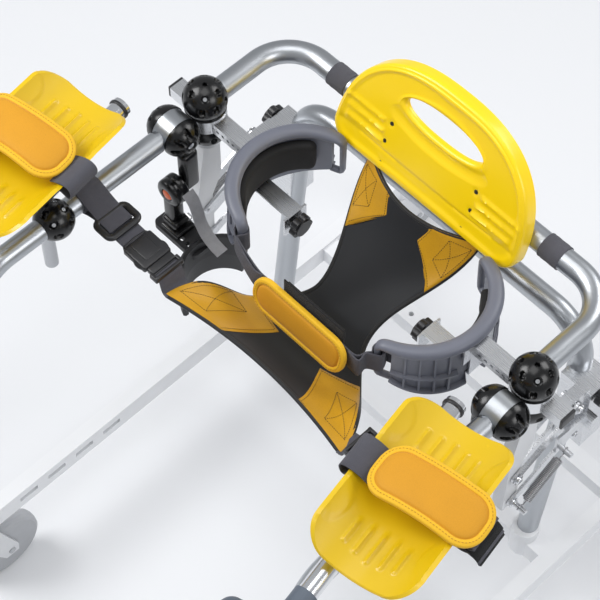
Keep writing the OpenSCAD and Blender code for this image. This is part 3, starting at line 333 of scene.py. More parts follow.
# Mesh tools, in millimetres
NEARLY_STRAIGHT, ARC_REACH, STRIP_EDGE, LONG_PARTS = 88, 0.48, 0.8, 12


def turned(normal, direction):
    side = normal - normal.dot(direction) * direction
    return side.normalized()


def rounded(points, radius, steps=4):
    """The points with each inner corner as an arc."""
    points = [Vector(p) for p in points]
    out = [points[0]]
    for a, b, c in zip(points, points[1:], points[2:]):
        u, v = (a - b), (c - b)
        reach = min(u.length, v.length) * ARC_REACH
        u.normalize()
        v.normalize()
        half = u.angle(v) / 2
        if half > math.radians(NEARLY_STRAIGHT):
            out.append(b)
            continue
        cut = min(radius / math.tan(half), reach)
        centre = b + (u + v).normalized() * (cut * math.tan(half) / math.sin(half))
        start, end = b + u * cut - centre, b + v * cut - centre
        out += [centre + start.slerp(end, i / steps) for i in range(steps + 1)]
    out.append(points[-1])
    return out


def smooth_path(points, steps=8):
    """A Catmull-Rom line through the points."""
    p = [Vector(q) for q in points]
    p = [2 * p[0] - p[1]] + p + [2 * p[-1] - p[-2]]
    out = []
    for a, b, c, d in zip(p, p[1:], p[2:], p[3:]):
        for i in range(steps):
            t = i / steps
            out.append(0.5 * ((2 * b) + (c - a) * t + (2 * a - 5 * b + 4 * c - d) * t * t
                              + (3 * b - a - 3 * c + d) * t ** 3))
    out.append(p[-2])
    return out


def circle(count):
    """The angles of a full turn."""
    return [math.tau * i / count for i in range(count)]


def disc(radius, count=24, wide=1.0, high=1.0):
    return [(radius * math.cos(t) * wide, radius * math.sin(t) * high) for t in circle(count)]


def flat_strip(width, thick):
    """Section of a woven strap: flat, with soft edges."""
    w, t, e = width / 2, thick / 2, STRIP_EDGE
    quarter = [(-w, 0), (-w + e * 0.4, -t * 0.8), (-w + e, -t), (-w / 3, -t)]
    under = quarter + [(-x, y) for x, y in reversed(quarter[1:])]
    return under + [(-x, -y) for x, y in under]


def rounded_plan(a, b, r, inset=0.0, per=8):
    """A rounded rectangle of half sizes a and b, drawn in by inset; its points pair up across it."""
    a, b, r = a - inset, b - inset, max(r - inset, 0.05)
    out = []
    for quarter, (x, y) in enumerate(((1, 1), (-1, 1), (-1, -1), (1, -1))):
        for i in range(per + 1):
            t = math.radians(90 * quarter + 90 * i / per)
            out.append((x * (a - r) + r * math.cos(t), y * (b - r) + r * math.sin(t)))
    # Extra points along the long sides, so that the plan can follow a curved seat
    dense = []
    for i, p in enumerate(out):
        q = out[(i + 1) % len(out)]
        dense.append(p)
        if i in (per, 3 * per + 2):
            dense += [(p[0] + (q[0] - p[0]) * k / LONG_PARTS, p[1] + (q[1] - p[1]) * k / LONG_PARTS)
                      for k in range(1, LONG_PARTS)]
    return dense


class Builder:
    """Collects shapes in millimetres and turns them into one piece of the object."""

    def __init__(self):
        self.bm = bmesh.new()
        self.cut = self.bm.loops.layers.uv.new("cut")

    def face(self, corners, finish=0, cut=None):
        """Adds a face; one that is there already, or has a corner twice, is left out."""
        try:
            made = self.bm.faces.new(corners)
        except ValueError:
            return
        made.material_index = finish
        made.smooth = True
        if cut:
            for loop, uv in zip(made.loops, cut):
                loop[self.cut].uv = uv

    def rings(self, rows, closed=True, finish=0, loop=False):
        """Joins rows of points; closed joins each row's ends, loop joins the last row to the first."""
        lines = [[self.bm.verts.new(p) for p in row] for row in rows]
        count = len(rows[0])
        runs, wide = [0.0], [0.0]
        for a, b in zip(rows, rows[1:]):
            runs.append(runs[-1] + (Vector(b[0]) - Vector(a[0])).length / 1000)
        runs.append(runs[-1] + 0.004)
        for a, b in zip(rows[0], rows[0][1:] + rows[0][:1]):
            wide.append(wide[-1] + (Vector(b) - Vector(a)).length / 1000)
        for i in range(len(lines) if loop else len(lines) - 1):
            k = (i + 1) % len(lines)
            u0, u1 = runs[i], runs[i + 1]
            for j in range(count if closed else count - 1):
                m = (j + 1) % count
                self.face((lines[i][j], lines[i][m], lines[k][m], lines[k][j]), finish,
                          cut=((u0, wide[j]), (u0, wide[j + 1]), (u1, wide[j + 1]), (u1, wide[j])))
        if closed and not loop:
            self.face(list(reversed(lines[0])), finish)
            self.face(lines[-1], finish)

    def sweep(self, path, section, start=(0, 0, 1), finish=0, loop=False):
        """Sweeps the section, given as (side, up), along the path."""
        path = [Vector(p) for p in path]
        n, count = None, len(path)
        rows = []
        for i, p in enumerate(path):
            if loop:
                t = (path[(i + 1) % count] - path[i - 1]).normalized()
            else:
                t = (path[min(i + 1, count - 1)] - path[max(i - 1, 0)]).normalized()
            n = turned(n if n else Vector(start), t)
            side = n.cross(t)
            rows.append([p + side * a + n * b for a, b in section])
        self.rings(rows, finish=finish, loop=loop)

    def lathe(self, profile, place, count=48, closed=False):
        """Turns the profile, (radius, height) points or a function of the angle, about place's own Z."""
        rows = []
        for a in circle(count):
            points = profile(a) if callable(profile) else profile
            rows.append([place @ Vector((r * math.cos(a), r * math.sin(a), h)) for r, h in points])
        self.rings(rows, closed=closed, loop=True)

    def block(self, place, size, bevel, steps):
        """A box centred on place, with rounded edges."""
        made = bmesh.ops.create_cube(self.bm, size=1.0, matrix=place @ Matrix.Diagonal((*size, 1)))
        edges = {e for v in made["verts"] for e in v.link_edges}
        faces = {f for v in made["verts"] for f in v.link_faces}
        grown = bmesh.ops.bevel(self.bm, geom=list(edges), offset=bevel, segments=steps, profile=0.5,
                                affect="EDGES")
        for f in faces | set(grown["faces"]):
            if f.is_valid:
                f.smooth = True

    def dashes(self, path, pitch, length, lift):
        """Small stitches along a line of (point, normal)."""
        run, nxt = 0.0, pitch / 2
        for (a, na), (b, nb) in zip(path, path[1:]):
            step = (b - a).length
            while step > 1e-6 and nxt <= run + step:
                k = (nxt - run) / step
                t, n = (b - a).normalized(), na.lerp(nb, k).normalized()
                p = a.lerp(b, k) + n * lift
                side = n.cross(t)
                self.rings([[p + t * (s * length) + (side * math.cos(q) + n * math.sin(q)) * THREAD_R * r
                             for q in circle(6)] for s, r in THREAD_ENDS])
                nxt += pitch
            run += step

    def pad(self, a, b, r, profile, thick, lay, face_from, per=8):
        """A crowned pad with a border band; the profile holds (inset, height), lay gives a point's place."""
        def plan(inset, height):
            return [lay(x, y, height) for x, y in rounded_plan(a, b, r, inset, per)]
        base = [plan(d, -thick) for d in (b - 1.5, b * 0.5, 1.2)]
        rows = base + [plan(0, -thick + 1)] + [plan(d, h) for d, h in profile]
        marks = [0] * len(base) + [0 if d < face_from else 1 for d, _ in profile]
        lines = [[self.bm.verts.new(p) for p in row] for row in rows]
        count = len(rows[0])
        for i in range(len(lines) - 1):
            for j in range(count):
                m = (j + 1) % count
                self.face((lines[i][j], lines[i][m], lines[i + 1][m], lines[i + 1][j]), marks[i])
        for line, flip in ((lines[0], True), (lines[-1], False)):
            top, low = line[:count // 2], list(reversed(line[count // 2:]))
            for (p, q), (s, t) in zip(zip(top, top[1:]), zip(low, low[1:])):
                quad = (p, q, t, s)
                corners = []
                for c in reversed(quad) if flip else quad:
                    if c not in corners:
                        corners.append(c)
                if len(corners) > 2:
                    self.face(corners, 0 if flip else 1)

    def piece(self, name, body, slot, materials, sharp=38, replaces=(), subdivide=0):
        """Ends the piece: its mesh in metres, its finishes, and what it rides on and stands for."""
        bmesh.ops.recalc_face_normals(self.bm, faces=self.bm.faces)
        bmesh.ops.scale(self.bm, vec=(0.001,) * 3, verts=self.bm.verts)
        mesh = bpy.data.meshes.new(name)
        self.bm.to_mesh(mesh)
        self.bm.free()
        mesh.set_sharp_from_angle(angle=math.radians(sharp))
        obj = bpy.data.objects.new(name, mesh)
        bpy.context.scene.collection.objects.link(obj)
        for material in materials if isinstance(materials, list) else [materials]:
            mesh.materials.append(finishes[material])
        if subdivide:
            smooth = obj.modifiers.new("Smooth", "SUBSURF")
            smooth.levels = smooth.render_levels = subdivide
        if body:
            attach(obj, body)
        if replaces:
            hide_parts(*replaces)
        return obj


THREAD_R, THREAD_LIFT, PAD_STITCH, PATCH_STITCH = 0.42, 0.15, 2.6, 2.2
THREAD_ENDS = ((-0.5, 0.35), (-0.3, 0.9), (0, 1), (0.3, 0.9), (0.5, 0.35))
STRAP_T = 2.0


def in_mm(size):
    """One of the user's sizes, in millimetres."""
    return getattr(bpy.context.scene.gait_sizes, size) * 1000


def make_bordered_pad(name, body, half, r, profile, thick, lay, face_from, per, seam_in, replaces=()):
    """A yellow pad with a border band and a row of stitches between border and face."""
    shape = Builder()
    shape.pad(*half, r, profile, thick, lay, face_from, per)
    pad = shape.piece(name % "cover", body, "yellow_neoprene", ["pad border", "pad face"],
                      sharp=70, replaces=replaces, subdivide=1)
    line = rounded_plan(*half, r, seam_in, per)
    path = [(lay(x, y, 1.2), lay(x, y, 11.2) - lay(x, y, 1.2)) for x, y in line + line[:1]]
    stitches = Builder()
    stitches.dashes(path, in_mm("stitch_pitch"), PAD_STITCH, THREAD_LIFT)
    stitches.piece(name % "stitches", body, "yellow_neoprene", "thread amber")


def move(x, y, z):
    return Matrix.Translation((x, y, z))


def spin(degrees, axis):
    return Matrix.Rotation(math.radians(degrees), 4, axis)


# Places on the frame, in millimetres
FRAME_HALF, LOOP_Z, LOOP_BACK, TUBE_R = 293, 800, 152, 16
PLAY = 1.5
PANEL_LEAN, PANEL_LOW, PANEL_W, PANEL_H, PANEL_D = 20, -44, 334, 190, 22
ARM_Z, ARM_R, STRAP_Y = 784, 15, -205
GUTTER_YAW = {"right": 8, "left": 10}
GUTTER_AT = {"right": (-342, -248), "left": (325, -246)}
ROD_OFF = {"right": 22, "left": 36}
PLATE_Z = ARM_Z + 27.5 + PLAY
ROD_R = 12.5
ROD_Z = PLATE_Z + ROD_R + 4
GUTTER_Z = ROD_Z + ROD_R + 4
GUTTER_LEN, GUTTER_W, GUTTER_DEEP, GUTTER_WALL = 238, 146, 34, 4
TROUGH_R = (GUTTER_W ** 2 / 4 + GUTTER_DEEP ** 2) / (2 * GUTTER_DEEP)
PAD_LEN, PAD_W, PAD_Y, PAD_ARCH = 160, 78, 3, 220
PAD_X = {"right": 17, "left": 22}
PAD_TOP = GUTTER_Z + GUTTER_DEEP + 22
TRUNK_R, TRUNK_HALF, TRUNK_A, TRUNK_H, TRUNK_T = 93, 198, 68, 92, 7
TRUNK_C, TRUNK_Z = TRUNK_HALF - TRUNK_R, LOOP_Z - 18
TRI_X, BUCKLE_X = 236, {"right": 171.5, "left": 231.5}


def gutter_place(side):
    """The matrix of one gutter's own axes."""
    return move(*GUTTER_AT[side], 0) @ spin(GUTTER_YAW[side], "Z")


def panel_place():
    """The matrix of the back panel: X across, Y up its face, Z towards the user."""
    return (move(0, LOOP_BACK - TUBE_R, LOOP_Z) @ spin(-PANEL_LEAN, "X")
            @ move(0, 0, PANEL_LOW) @ spin(90, "X"))


# Moulded parts
SQUARED, DOMED, SHELL_SQUARED = 0.8, 0.86, 0.85
PANEL_FRONT, PANEL_WALL, PANEL_ROUND, PANEL_CORNER, CORNER_SHARE = PANEL_D + PLAY, 4, 6, 26, 0.12
PANEL_COLUMNS, FACE_STEPS = 220, 34
# How much narrower a side, and lower, the moulding is than its blank
PANEL_TRIM = 6, 13
HOLE_W, HOLE_H, HOLE_UP = 131, 36, 120
SCOOP_HALF, SCOOP_H, SCOOP_DEEP = 84, 22, 4.5
PANEL_SCREWS, SCREW_DISH, SCREW_DISH_DEEP = [(74, 76), (76, 46), (72, 12)], 7.5, 1.6
PANEL_RIBS, RIB_HALF, RIB_R, RIB_HIGH = [(118, 74), (114, 59), (110, 44)], 31, 4.2, 2.8
CREASE_UP, CREASE_BOW, CREASE_R, CREASE_DEEP, LIP_STEP = 31, 2.5, 2.8, 2.6, 1.6


def squared_cos(t, power):
    """A cosine whose oval has fuller corners."""
    return math.copysign(abs(math.cos(t)) ** power, math.cos(t))


def super_oval(w, h, t):
    return (w / 2 * squared_cos(t, SQUARED), h / 2 * math.sin(t))


def panel_outline(t):
    """The D outline of the panel at angle t round the hand hole's middle."""
    a, c = PANEL_W / 2 - PANEL_TRIM[0], PANEL_CORNER
    if 0 <= t <= math.pi:
        return (a * squared_cos(t, SQUARED), c + (PANEL_H - c - PANEL_TRIM[1]) * math.sin(t) ** DOMED)
    k = (t - math.pi) / math.pi
    if k < CORNER_SHARE:
        q = math.radians(180 + 90 * k / CORNER_SHARE)
        return (-a + c + c * math.cos(q), c + c * math.sin(q))
    if k > 1 - CORNER_SHARE:
        q = math.radians(270 + 90 * (k - (1 - CORNER_SHARE)) / CORNER_SHARE)
        return (a - c + c * math.cos(q), c + c * math.sin(q))
    return (-a + c + (2 * a - 2 * c) * (k - CORNER_SHARE) / (1 - 2 * CORNER_SHARE), 0)


def bump(distance, radius, height):
    return 0.0 if distance >= radius else height * (1 + math.cos(math.pi * distance / radius)) / 2


def panel_face(x, up):
    """Height of the panel's front face above its back plane."""
    h = PANEL_FRONT
    # Scooped finger recess below the hole, a crease and a folded lower lip
    inside = (x / SCOOP_HALF) ** 2 + ((up - (HOLE_UP - SCOOP_H)) / SCOOP_H) ** 2
    if inside < 1:
        h -= SCOOP_DEEP * (1 - inside) ** 0.7
    for side in (-1, 1):
        for rx, ru in PANEL_RIBS:
            along = max(0.0, abs(x - side * rx) - RIB_HALF)
            h += bump(math.hypot(along, up - ru), RIB_R, RIB_HIGH)
        for sx, su in PANEL_SCREWS:
            h -= bump(math.hypot(x - side * sx, up - su), SCREW_DISH, SCREW_DISH_DEEP)
    crease = up - CREASE_UP - CREASE_BOW * (x / 160) ** 2
    h -= bump(abs(crease), CREASE_R, CREASE_DEEP)
    if crease < 0:
        h -= LIP_STEP * min(1.0, -crease / 3)
    return h


def make_back_panel():
    shape, place, rows = Builder(), panel_place(), []
    r, back = PANEL_ROUND, PANEL_FRONT - PANEL_WALL
    for t in circle(PANEL_COLUMNS):
        hole = Vector(super_oval(HOLE_W, HOLE_H, t)) + Vector((0, HOLE_UP))
        edge = Vector(panel_outline(t))
        span = (edge - hole).length
        ray = (edge - hole) / span
        # From inside the hand hole round its rim, over the face and the outer edge, and back inside
        line = [(0.0, back - 5), (0.0, PANEL_D - 6)]
        line += [(r - r * math.cos(q), PANEL_D - 5 + 6.5 * math.sin(q))
                 for q in (math.radians(15 * k) for k in range(1, 7))]
        for k in range(1, FACE_STEPS):
            d = r + (span - 2 * r) * k / FACE_STEPS
            p = hole + ray * d
            roll = 2.6 * math.exp(-((span - d - 10) / 4.5) ** 2) + 1.6 * math.exp(-((d - 8) / 4.0) ** 2)
            line.append((d, panel_face(p.x, p.y) + roll))
        line += [(span - r + r * math.sin(q), PANEL_D - 4.5 + r * math.cos(q))
                 for q in (math.radians(90 * k / 8) for k in range(9))]
        line += [(span, 9), (span, 1.5), (span - 1.5, 0.6), (span - 4, 1.5), (span - 4, back - 3),
                 (span - 7, back), (span * 0.5, back), (5, back), (4, back - 5)]
        rows.append([place @ Vector((*(hole + ray * d), h)) for d, h in line])
    shape.rings(rows, loop=True)
    shape.piece("back_panel_shell", "upper_frame", "yellow_plastic", "panel yellow", sharp=50,
                replaces=["back_panel"])


def make_panel_screws():
    """Countersunk socket screws at the ends of the panel's ribs."""
    shape, place = Builder(), panel_place()
    head = [(0.01, -1.8), (1.3, -1.8), (1.5, 0.3), (2.9, 0.5), (3.9, 0.1), (4.2, -0.8), (4.2, -3)]
    for side in (-1, 1):
        for x, up in PANEL_SCREWS:
            sunk = 3.2 if up < CREASE_UP else 1.4
            shape.lathe(head, place @ move(side * x, up, PANEL_FRONT - sunk), 24)
    shape.piece("panel_screw_heads", "upper_frame", "dark_steel", "dark steel")


LIP_IN, GUTTER_ROUND, GUTTER_COLUMNS = 5, 34, 112
GROOVE_TURN, GROOVE_R, GROOVE_HIGH, GROOVE_GROUPS = 11, 4.6, 3.1, (70, -72)
BOSS_X, BOSS_Y, BOSS_W, BOSS_L, BOSS_HIGH = 73, 62, 24, 30, 1.8


def trough_height(x, y):
    """Height of the gutter's inner face, with two groups of ribs and half-moon bosses beside the strap."""
    inner = TROUGH_R - GUTTER_WALL
    z = TROUGH_R - math.sqrt(max(0, inner * inner - x * x))
    for rib in range(-2, 3):
        along = min(max(0.0, abs(y - group) - (20 - 3 * abs(rib))) for group in GROOVE_GROUPS)
        aside = x - inner * math.sin(math.radians(GROOVE_TURN * rib))
        z += bump(math.hypot(aside, along), GROOVE_R, GROOVE_HIGH)
    for end in (-1, 1):
        for far in (-1, 1):
            d = math.hypot((x - far * BOSS_X) / BOSS_W, (y - end * BOSS_Y - 6) / BOSS_L)
            z += BOSS_HIGH * max(0.0, min(1.0, (1.0 - d) * 8))
    return z


def make_gutter(side):
    """The moulded trough: its inner and outer face meet in a thin rounded lip."""
    shape, place = Builder(), gutter_place(side) @ move(0, 0, GUTTER_Z)
    r, half_l, half_w = GUTTER_ROUND, GUTTER_LEN / 2, GUTTER_W / 2
    stops = [half_l, half_l - 0.6, half_l - 1.8] + [85 * k / 16 for k in range(17)]
    stops += [half_l - r * (1 - math.cos(math.radians(7.5 * k))) for k in range(12)]
    stops = sorted({round(y, 4) for y in stops + [half_l - 2 * k for k in range(2, 17)]})
    rows = []
    for y in [-y for y in reversed(stops)] + stops[1:]:
        over = abs(y) - (half_l - r)
        w = half_w if over <= 0 else half_w - r + math.sqrt(max(0.0, r * r - over * over))
        thin = 1.0 if abs(y) < half_l - 1.7 else (0.65 if abs(y) < half_l - 0.3 else 0.2)
        columns = [(w - LIP_IN) * math.sin(math.radians(90 * (2 * k / GUTTER_COLUMNS - 1)))
                   for k in range(GUTTER_COLUMNS + 1)]
        top = [(x, trough_height(x, y)) for x in columns]
        low = [(x, TROUGH_R - math.sqrt(TROUGH_R ** 2 - x * x))
               for x in (q * w / (w - LIP_IN) for q in columns)]
        mid = [((a[0] + b[0]) / 2, (a[1] + b[1]) / 2) for a, b in zip(top, low)]
        edge = GUTTER_WALL / 2 * thin
        faces = [[place @ Vector((m[0] + (p[0] - m[0]) * thin, y, m[1] + (p[1] - m[1]) * thin))
                  for p, m in zip(points, mid)] for points in (top, low)]
        lips = [place @ Vector((end * (w + edge * 0.4), y, mid[-1 if end > 0 else 0][1] + edge * 0.3))
                for end in (1, -1)]
        rows.append(faces[0] + lips[:1] + faces[1][::-1] + lips[1:])
    shape.rings(rows)
    shape.piece("gutter_trough_" + side, "gutter_" + side, "yellow_plastic", "gutter yellow", sharp=45,
                replaces=["gutter_" + side])


PAD_CORNER, PAD_THICK, PAD_CROWN, PAD_WAIST = 33, 5.0, 3.8, 0.04
PAD_PROFILE = [(0.0, -3.5), (0.0, -1.2), (0.6, 0.0), (2.2, 0.9), (5.5, 1.2), (8.2, 0.9), (9.2, 0.0),
               (9.8, -0.6), (10.4, 0.0), (11.6, 1.3), (15, 2.4), (21, 3.2), (29, 3.6), (35.5, 3.7)]


def make_gutter_pad(side):
    """The arched pad, drawn in a little along its middle."""
    place = gutter_place(side) @ move(SIDES[side] * PAD_X[side], PAD_Y, PAD_TOP - PAD_ARCH)

    def lay(along, across, h):
        a, r = along / PAD_ARCH, PAD_ARCH - PAD_CROWN + h
        across *= 1 - PAD_WAIST * (1 - (2 * along / PAD_LEN) ** 2)
        return place @ Vector((r * math.sin(a), across, r * math.cos(a)))
    make_bordered_pad("gutter_pad_%s_" + side, "gutter_" + side, (PAD_LEN / 2, PAD_W / 2), PAD_CORNER,
                      PAD_PROFILE, PAD_THICK, lay, 9.5, 12, 5.2, ["gutter_pad_" + side])


# Webbing in the gutter's own axes as (across, height): from under the pad's inner and outer end, then
# round the edge; then the turns in degrees at which it lies against the trough from below
WEB_UNDER = {-1: [(-70, 875.6), (-80, 881.2), (-90, 884.6)], 1: [(62, 883), (74, 879.6)]}
WEB_TURN = {-1: [(-80, 884.8), (-85.6, 881), (-87, 873), (-82, 863)],
            1: [(88, 872), (90, 866), (82, 861.5), (70, 861)]}
WEB_WRAP = {-1: (42, 37, 32, 27, 22), 1: (27, 22, 17)}
WEB_WIDE = 50
# Layers of the strap's free end as (drop, reach, finish)
WEB_LAYERS = ((0, 0, 1), (4.2, 3, 0), (8.4, 5.5, 1), (12.4, 4, 0))


def make_gutter_webbing(side):
    """Wide webbing from under the pad, round the gutter's edges and back on itself with hook tape."""
    shape, place = Builder(), gutter_place(side) @ move(0, PAD_Y, 0)
    s, r, c = SIDES[side], TROUGH_R + 1.6, GUTTER_Z + TROUGH_R
    up = place.to_3x3() @ Vector((0, 0, 1))

    def at(x, z):
        return place @ Vector((s * x, 0, z))
    for x in (-1, 1):
        turns = [math.radians(a) for a in WEB_WRAP[x]]
        path = [at(q[0] + PAD_X[side], q[1]) for q in WEB_UNDER[x]] + [at(*q) for q in WEB_TURN[x]]
        path += [at(x * r * math.sin(a), c - r * math.cos(a)) for a in turns]
        shape.sweep(smooth_path(path, 6), flat_strip(WEB_WIDE, STRAP_T), up)
    shape.piece("gutter_webbing_" + side, "gutter_" + side, "grey_webbing", "webbing grey", sharp=50)
    # The free end comes back in layers of grey webbing and black hook tape under the pad's outer end
    layers, tip = Builder(), PAD_X[side] + PAD_LEN / 2 - 7
    for k, (drop, reach, mark) in enumerate(WEB_LAYERS):
        end = tip + reach
        path = smooth_path([at(end - 34, 876 - drop * 0.8), at(end - 14, 874 - drop), at(end, 868.5 - drop),
                            at(end + 8 - 0.2 * drop, 860.5 - drop)], 6)
        layers.sweep(path, flat_strip(WEB_WIDE + 3 - 2 * k, STRAP_T + 0.4), up, finish=mark)
    layers.piece("gutter_webbing_end_" + side, "gutter_" + side, "grey_webbing",
                 ["webbing grey", "hook tape"], sharp=50)


# Sling
SLING_BACK, SLING_FRONT, SLING_REAR_Z, SLING_FRONT_Z, SLING_LOW = 119, -222, 759, 752, 640
SLING_BACK_HALF, SLING_WAIST_HALF, SLING_FRONT_HALF, SLING_SHIFT, SLING_T = 98, 50, 155, 30, 5
WAIST_AT, LOWEST_AT = 0.42, 0.45
SLING_SCOOP, BOWL_DEEP, FOLD_ALONG, FOLD_ACROSS, RIM_FADE = 34, 14, 1.6, 1.2, 5


def ease(t):
    return t * t * (3 - 2 * t)


def sling_half(u):
    """Half the sling's width at u, from 0 at the back to 1 at the front."""
    if u < WAIST_AT:
        return SLING_BACK_HALF + (SLING_WAIST_HALF - SLING_BACK_HALF) * ease(u / WAIST_AT)
    return SLING_WAIST_HALF + (SLING_FRONT_HALF - SLING_WAIST_HALF) * ease((u - WAIST_AT) / (1 - WAIST_AT))


def sling_drop(u):
    """The height of the sling's middle line at u."""
    if u < LOWEST_AT:
        return SLING_LOW + (SLING_REAR_Z - SLING_LOW) * (1 - u / LOWEST_AT) ** 1.6
    return SLING_LOW + (SLING_FRONT_Z - SLING_LOW) * ((u - LOWEST_AT) / (1 - LOWEST_AT)) ** 1.5


def sling_point(u, v, lift=0.0):
    """A point of the sling, v running from -1 to 1 across it, with its scooped ends and soft folds."""
    a = abs(v)
    end = SLING_SCOOP * (1 - a * a) * ((1 - u) ** 6 - 0.5 * u ** 6)
    soft = (FOLD_ALONG * math.sin(9 * u + 2.2 * v) * (1 - a ** 2)
            + FOLD_ACROSS * math.sin(5 * v + 14 * u))
    aside = SLING_SHIFT * ease(max(0.0, u - 0.3) / 0.7)
    # The straps pull the front lobes flat
    pulled = SLING_FRONT_Z - 80 * (1 - u) - sling_drop(u)
    lift += a ** 4 * max(0.0, pulled) * ease(min(1.0, max(0.0, u - 0.7) / 0.2))
    bowl = BOWL_DEEP * a * a * math.sin(math.pi * u)
    return Vector((v * sling_half(u) + aside, SLING_BACK + (SLING_FRONT - SLING_BACK) * u - end,
                   sling_drop(u) + bowl + soft * (1 - abs(2 * u - 1) ** 4) + lift))


def sling_normal(u, v):
    d = 0.004
    a = sling_point(min(u + d, 1), v) - sling_point(max(u - d, 0), v)
    b = sling_point(u, min(v + d, 1)) - sling_point(u, max(v - d, -1))
    up = a.cross(b)
    return up.normalized() * (-1 if up.z < 0 else 1)


def sling_edge():
    """The sling's outline as (u, v), once round."""
    across, along = 46, 70
    return ([(0, -1 + 2 * k / across) for k in range(across)] + [(k / along, 1) for k in range(along)]
            + [(1, 1 - 2 * k / across) for k in range(across)] + [(1 - k / along, -1) for k in range(along)])


SLING_ROWS, SLING_COLUMNS, BINDING_R = 76, 48, 3.1


def make_sling():
    """The neoprene, thinner at its rims, with its bound edge."""
    shape, rows = Builder(), []
    for i in range(SLING_ROWS + 1):
        u, top, low = i / SLING_ROWS, [], []
        for j in range(SLING_COLUMNS + 1):
            v = 2 * j / SLING_COLUMNS - 1
            rim = min(1.0, (1 - abs(v)) * sling_half(u) / RIM_FADE, min(u, 1 - u) * 330 / RIM_FADE)
            swell = sling_normal(u, v) * (SLING_T / 2 * (0.45 + 0.55 * math.sqrt(max(0.0, rim))))
            p = sling_point(u, v, -SLING_T / 2)
            top.append(p + swell)
            low.append(p - swell)
        rows.append(top + low[::-1])
    shape.rings(rows)
    sling = shape.piece("sling_neoprene", "upper_frame", "slate_neoprene", "sling neoprene", sharp=60,
                        replaces=["sling"])
    binding = Builder()
    binding.sweep([sling_point(u, v, -SLING_T / 2) for u, v in sling_edge()], disc(BINDING_R, 10), loop=True)
    binding.piece("sling_binding", "upper_frame", "slate_neoprene", "binding black")
    make_sling_patches()


# Each end's patches as (end, where they start, how far their inner and outer side reach, their depth)
PATCHES = (("rear", 0.0, (0.07, 0.22), 0.62), ("front", 1.0, (-0.26, -0.32), 0.56))
PATCH_ROWS, PATCH_COLUMNS, PATCH_FLARE, PATCH_OUT, LEATHER_T = 16, 18, 0.10, 1.012, 1.6
PATCH_BOX = [(0.14, 0.46), (0.72, 0.46), (0.72, 0.92), (0.14, 0.92)]
PATCH_LINES = (list(zip(PATCH_BOX, PATCH_BOX[1:] + PATCH_BOX[:1]))
               + [(PATCH_BOX[0], PATCH_BOX[2]), (PATCH_BOX[1], PATCH_BOX[3]),
                  ((0.02, 0.05), (0.95, 0.05)), ((0.95, 0.05), (0.95, 0.95))])


def patch_rows(s, start, reach, deep):
    """Rows of points over one corner of the sling, raised off it except round their rim."""
    n, m, rows = PATCH_ROWS, PATCH_COLUMNS, []
    for i in range(n + 1):
        inner, row = 1 - deep - PATCH_FLARE * i / n, []
        for j in range(m + 1):
            u = start + (reach[0] + (reach[1] - reach[0]) * j / m) * i / n
            v = s * (inner + (PATCH_OUT - inner) * j / m)
            on = max(-1.0, min(1.0, v))
            p = sling_point(u, on) + Vector(((v - on) * sling_half(u), 0, 0))
            sewn = min(1.0, min(i, n - i, j, m - j))
            row.append(p + sling_normal(u, on) * (1.0 + 1.1 * sewn))
        rows.append(row)
    return rows


def between(rows, a, b):
    """The point at a along the rows and b across them, each from 0 to 1."""
    n, m = len(rows) - 1, len(rows[0]) - 1
    i, j = a * n, b * m
    i0, j0 = min(int(i), n - 1), min(int(j), m - 1)
    return rows[i0][j0].lerp(rows[i0 + 1][j0], i - i0).lerp(
        rows[i0][j0 + 1].lerp(rows[i0 + 1][j0 + 1], i - i0), j - j0)


def make_sling_patches():
    """Ochre leather corners with a box and cross of stitches, sewn over the sling's four ends."""
    for end, start, reach, deep in PATCHES:
        for side, s in SIDES.items():
            tops, shape, lines = patch_rows(s, start, reach, deep), Builder(), Builder()
            shape.rings([row + [p - Vector((0, 0, 1)) * LEATHER_T for p in reversed(row)] for row in tops])
            shape.piece("sling_patch_%s_%s" % (end, side), "upper_frame", "slate_neoprene", "leather ochre",
                        sharp=70)
            for a, b in PATCH_LINES:
                spots = [(a[0] + (b[0] - a[0]) * k / 12, a[1] + (b[1] - a[1]) * k / 12) for k in range(13)]
                path = [(between(tops, *spot), sling_normal(start + reach[1] * spot[0], s * 0.8))
                        for spot in spots]
                lines.dashes(path, in_mm("stitch_pitch") * 0.8, PATCH_STITCH, THREAD_LIFT + 0.1)
            lines.piece("sling_patch_stitches_%s_%s" % (end, side), "upper_frame", "slate_neoprene",
                        "thread dark")


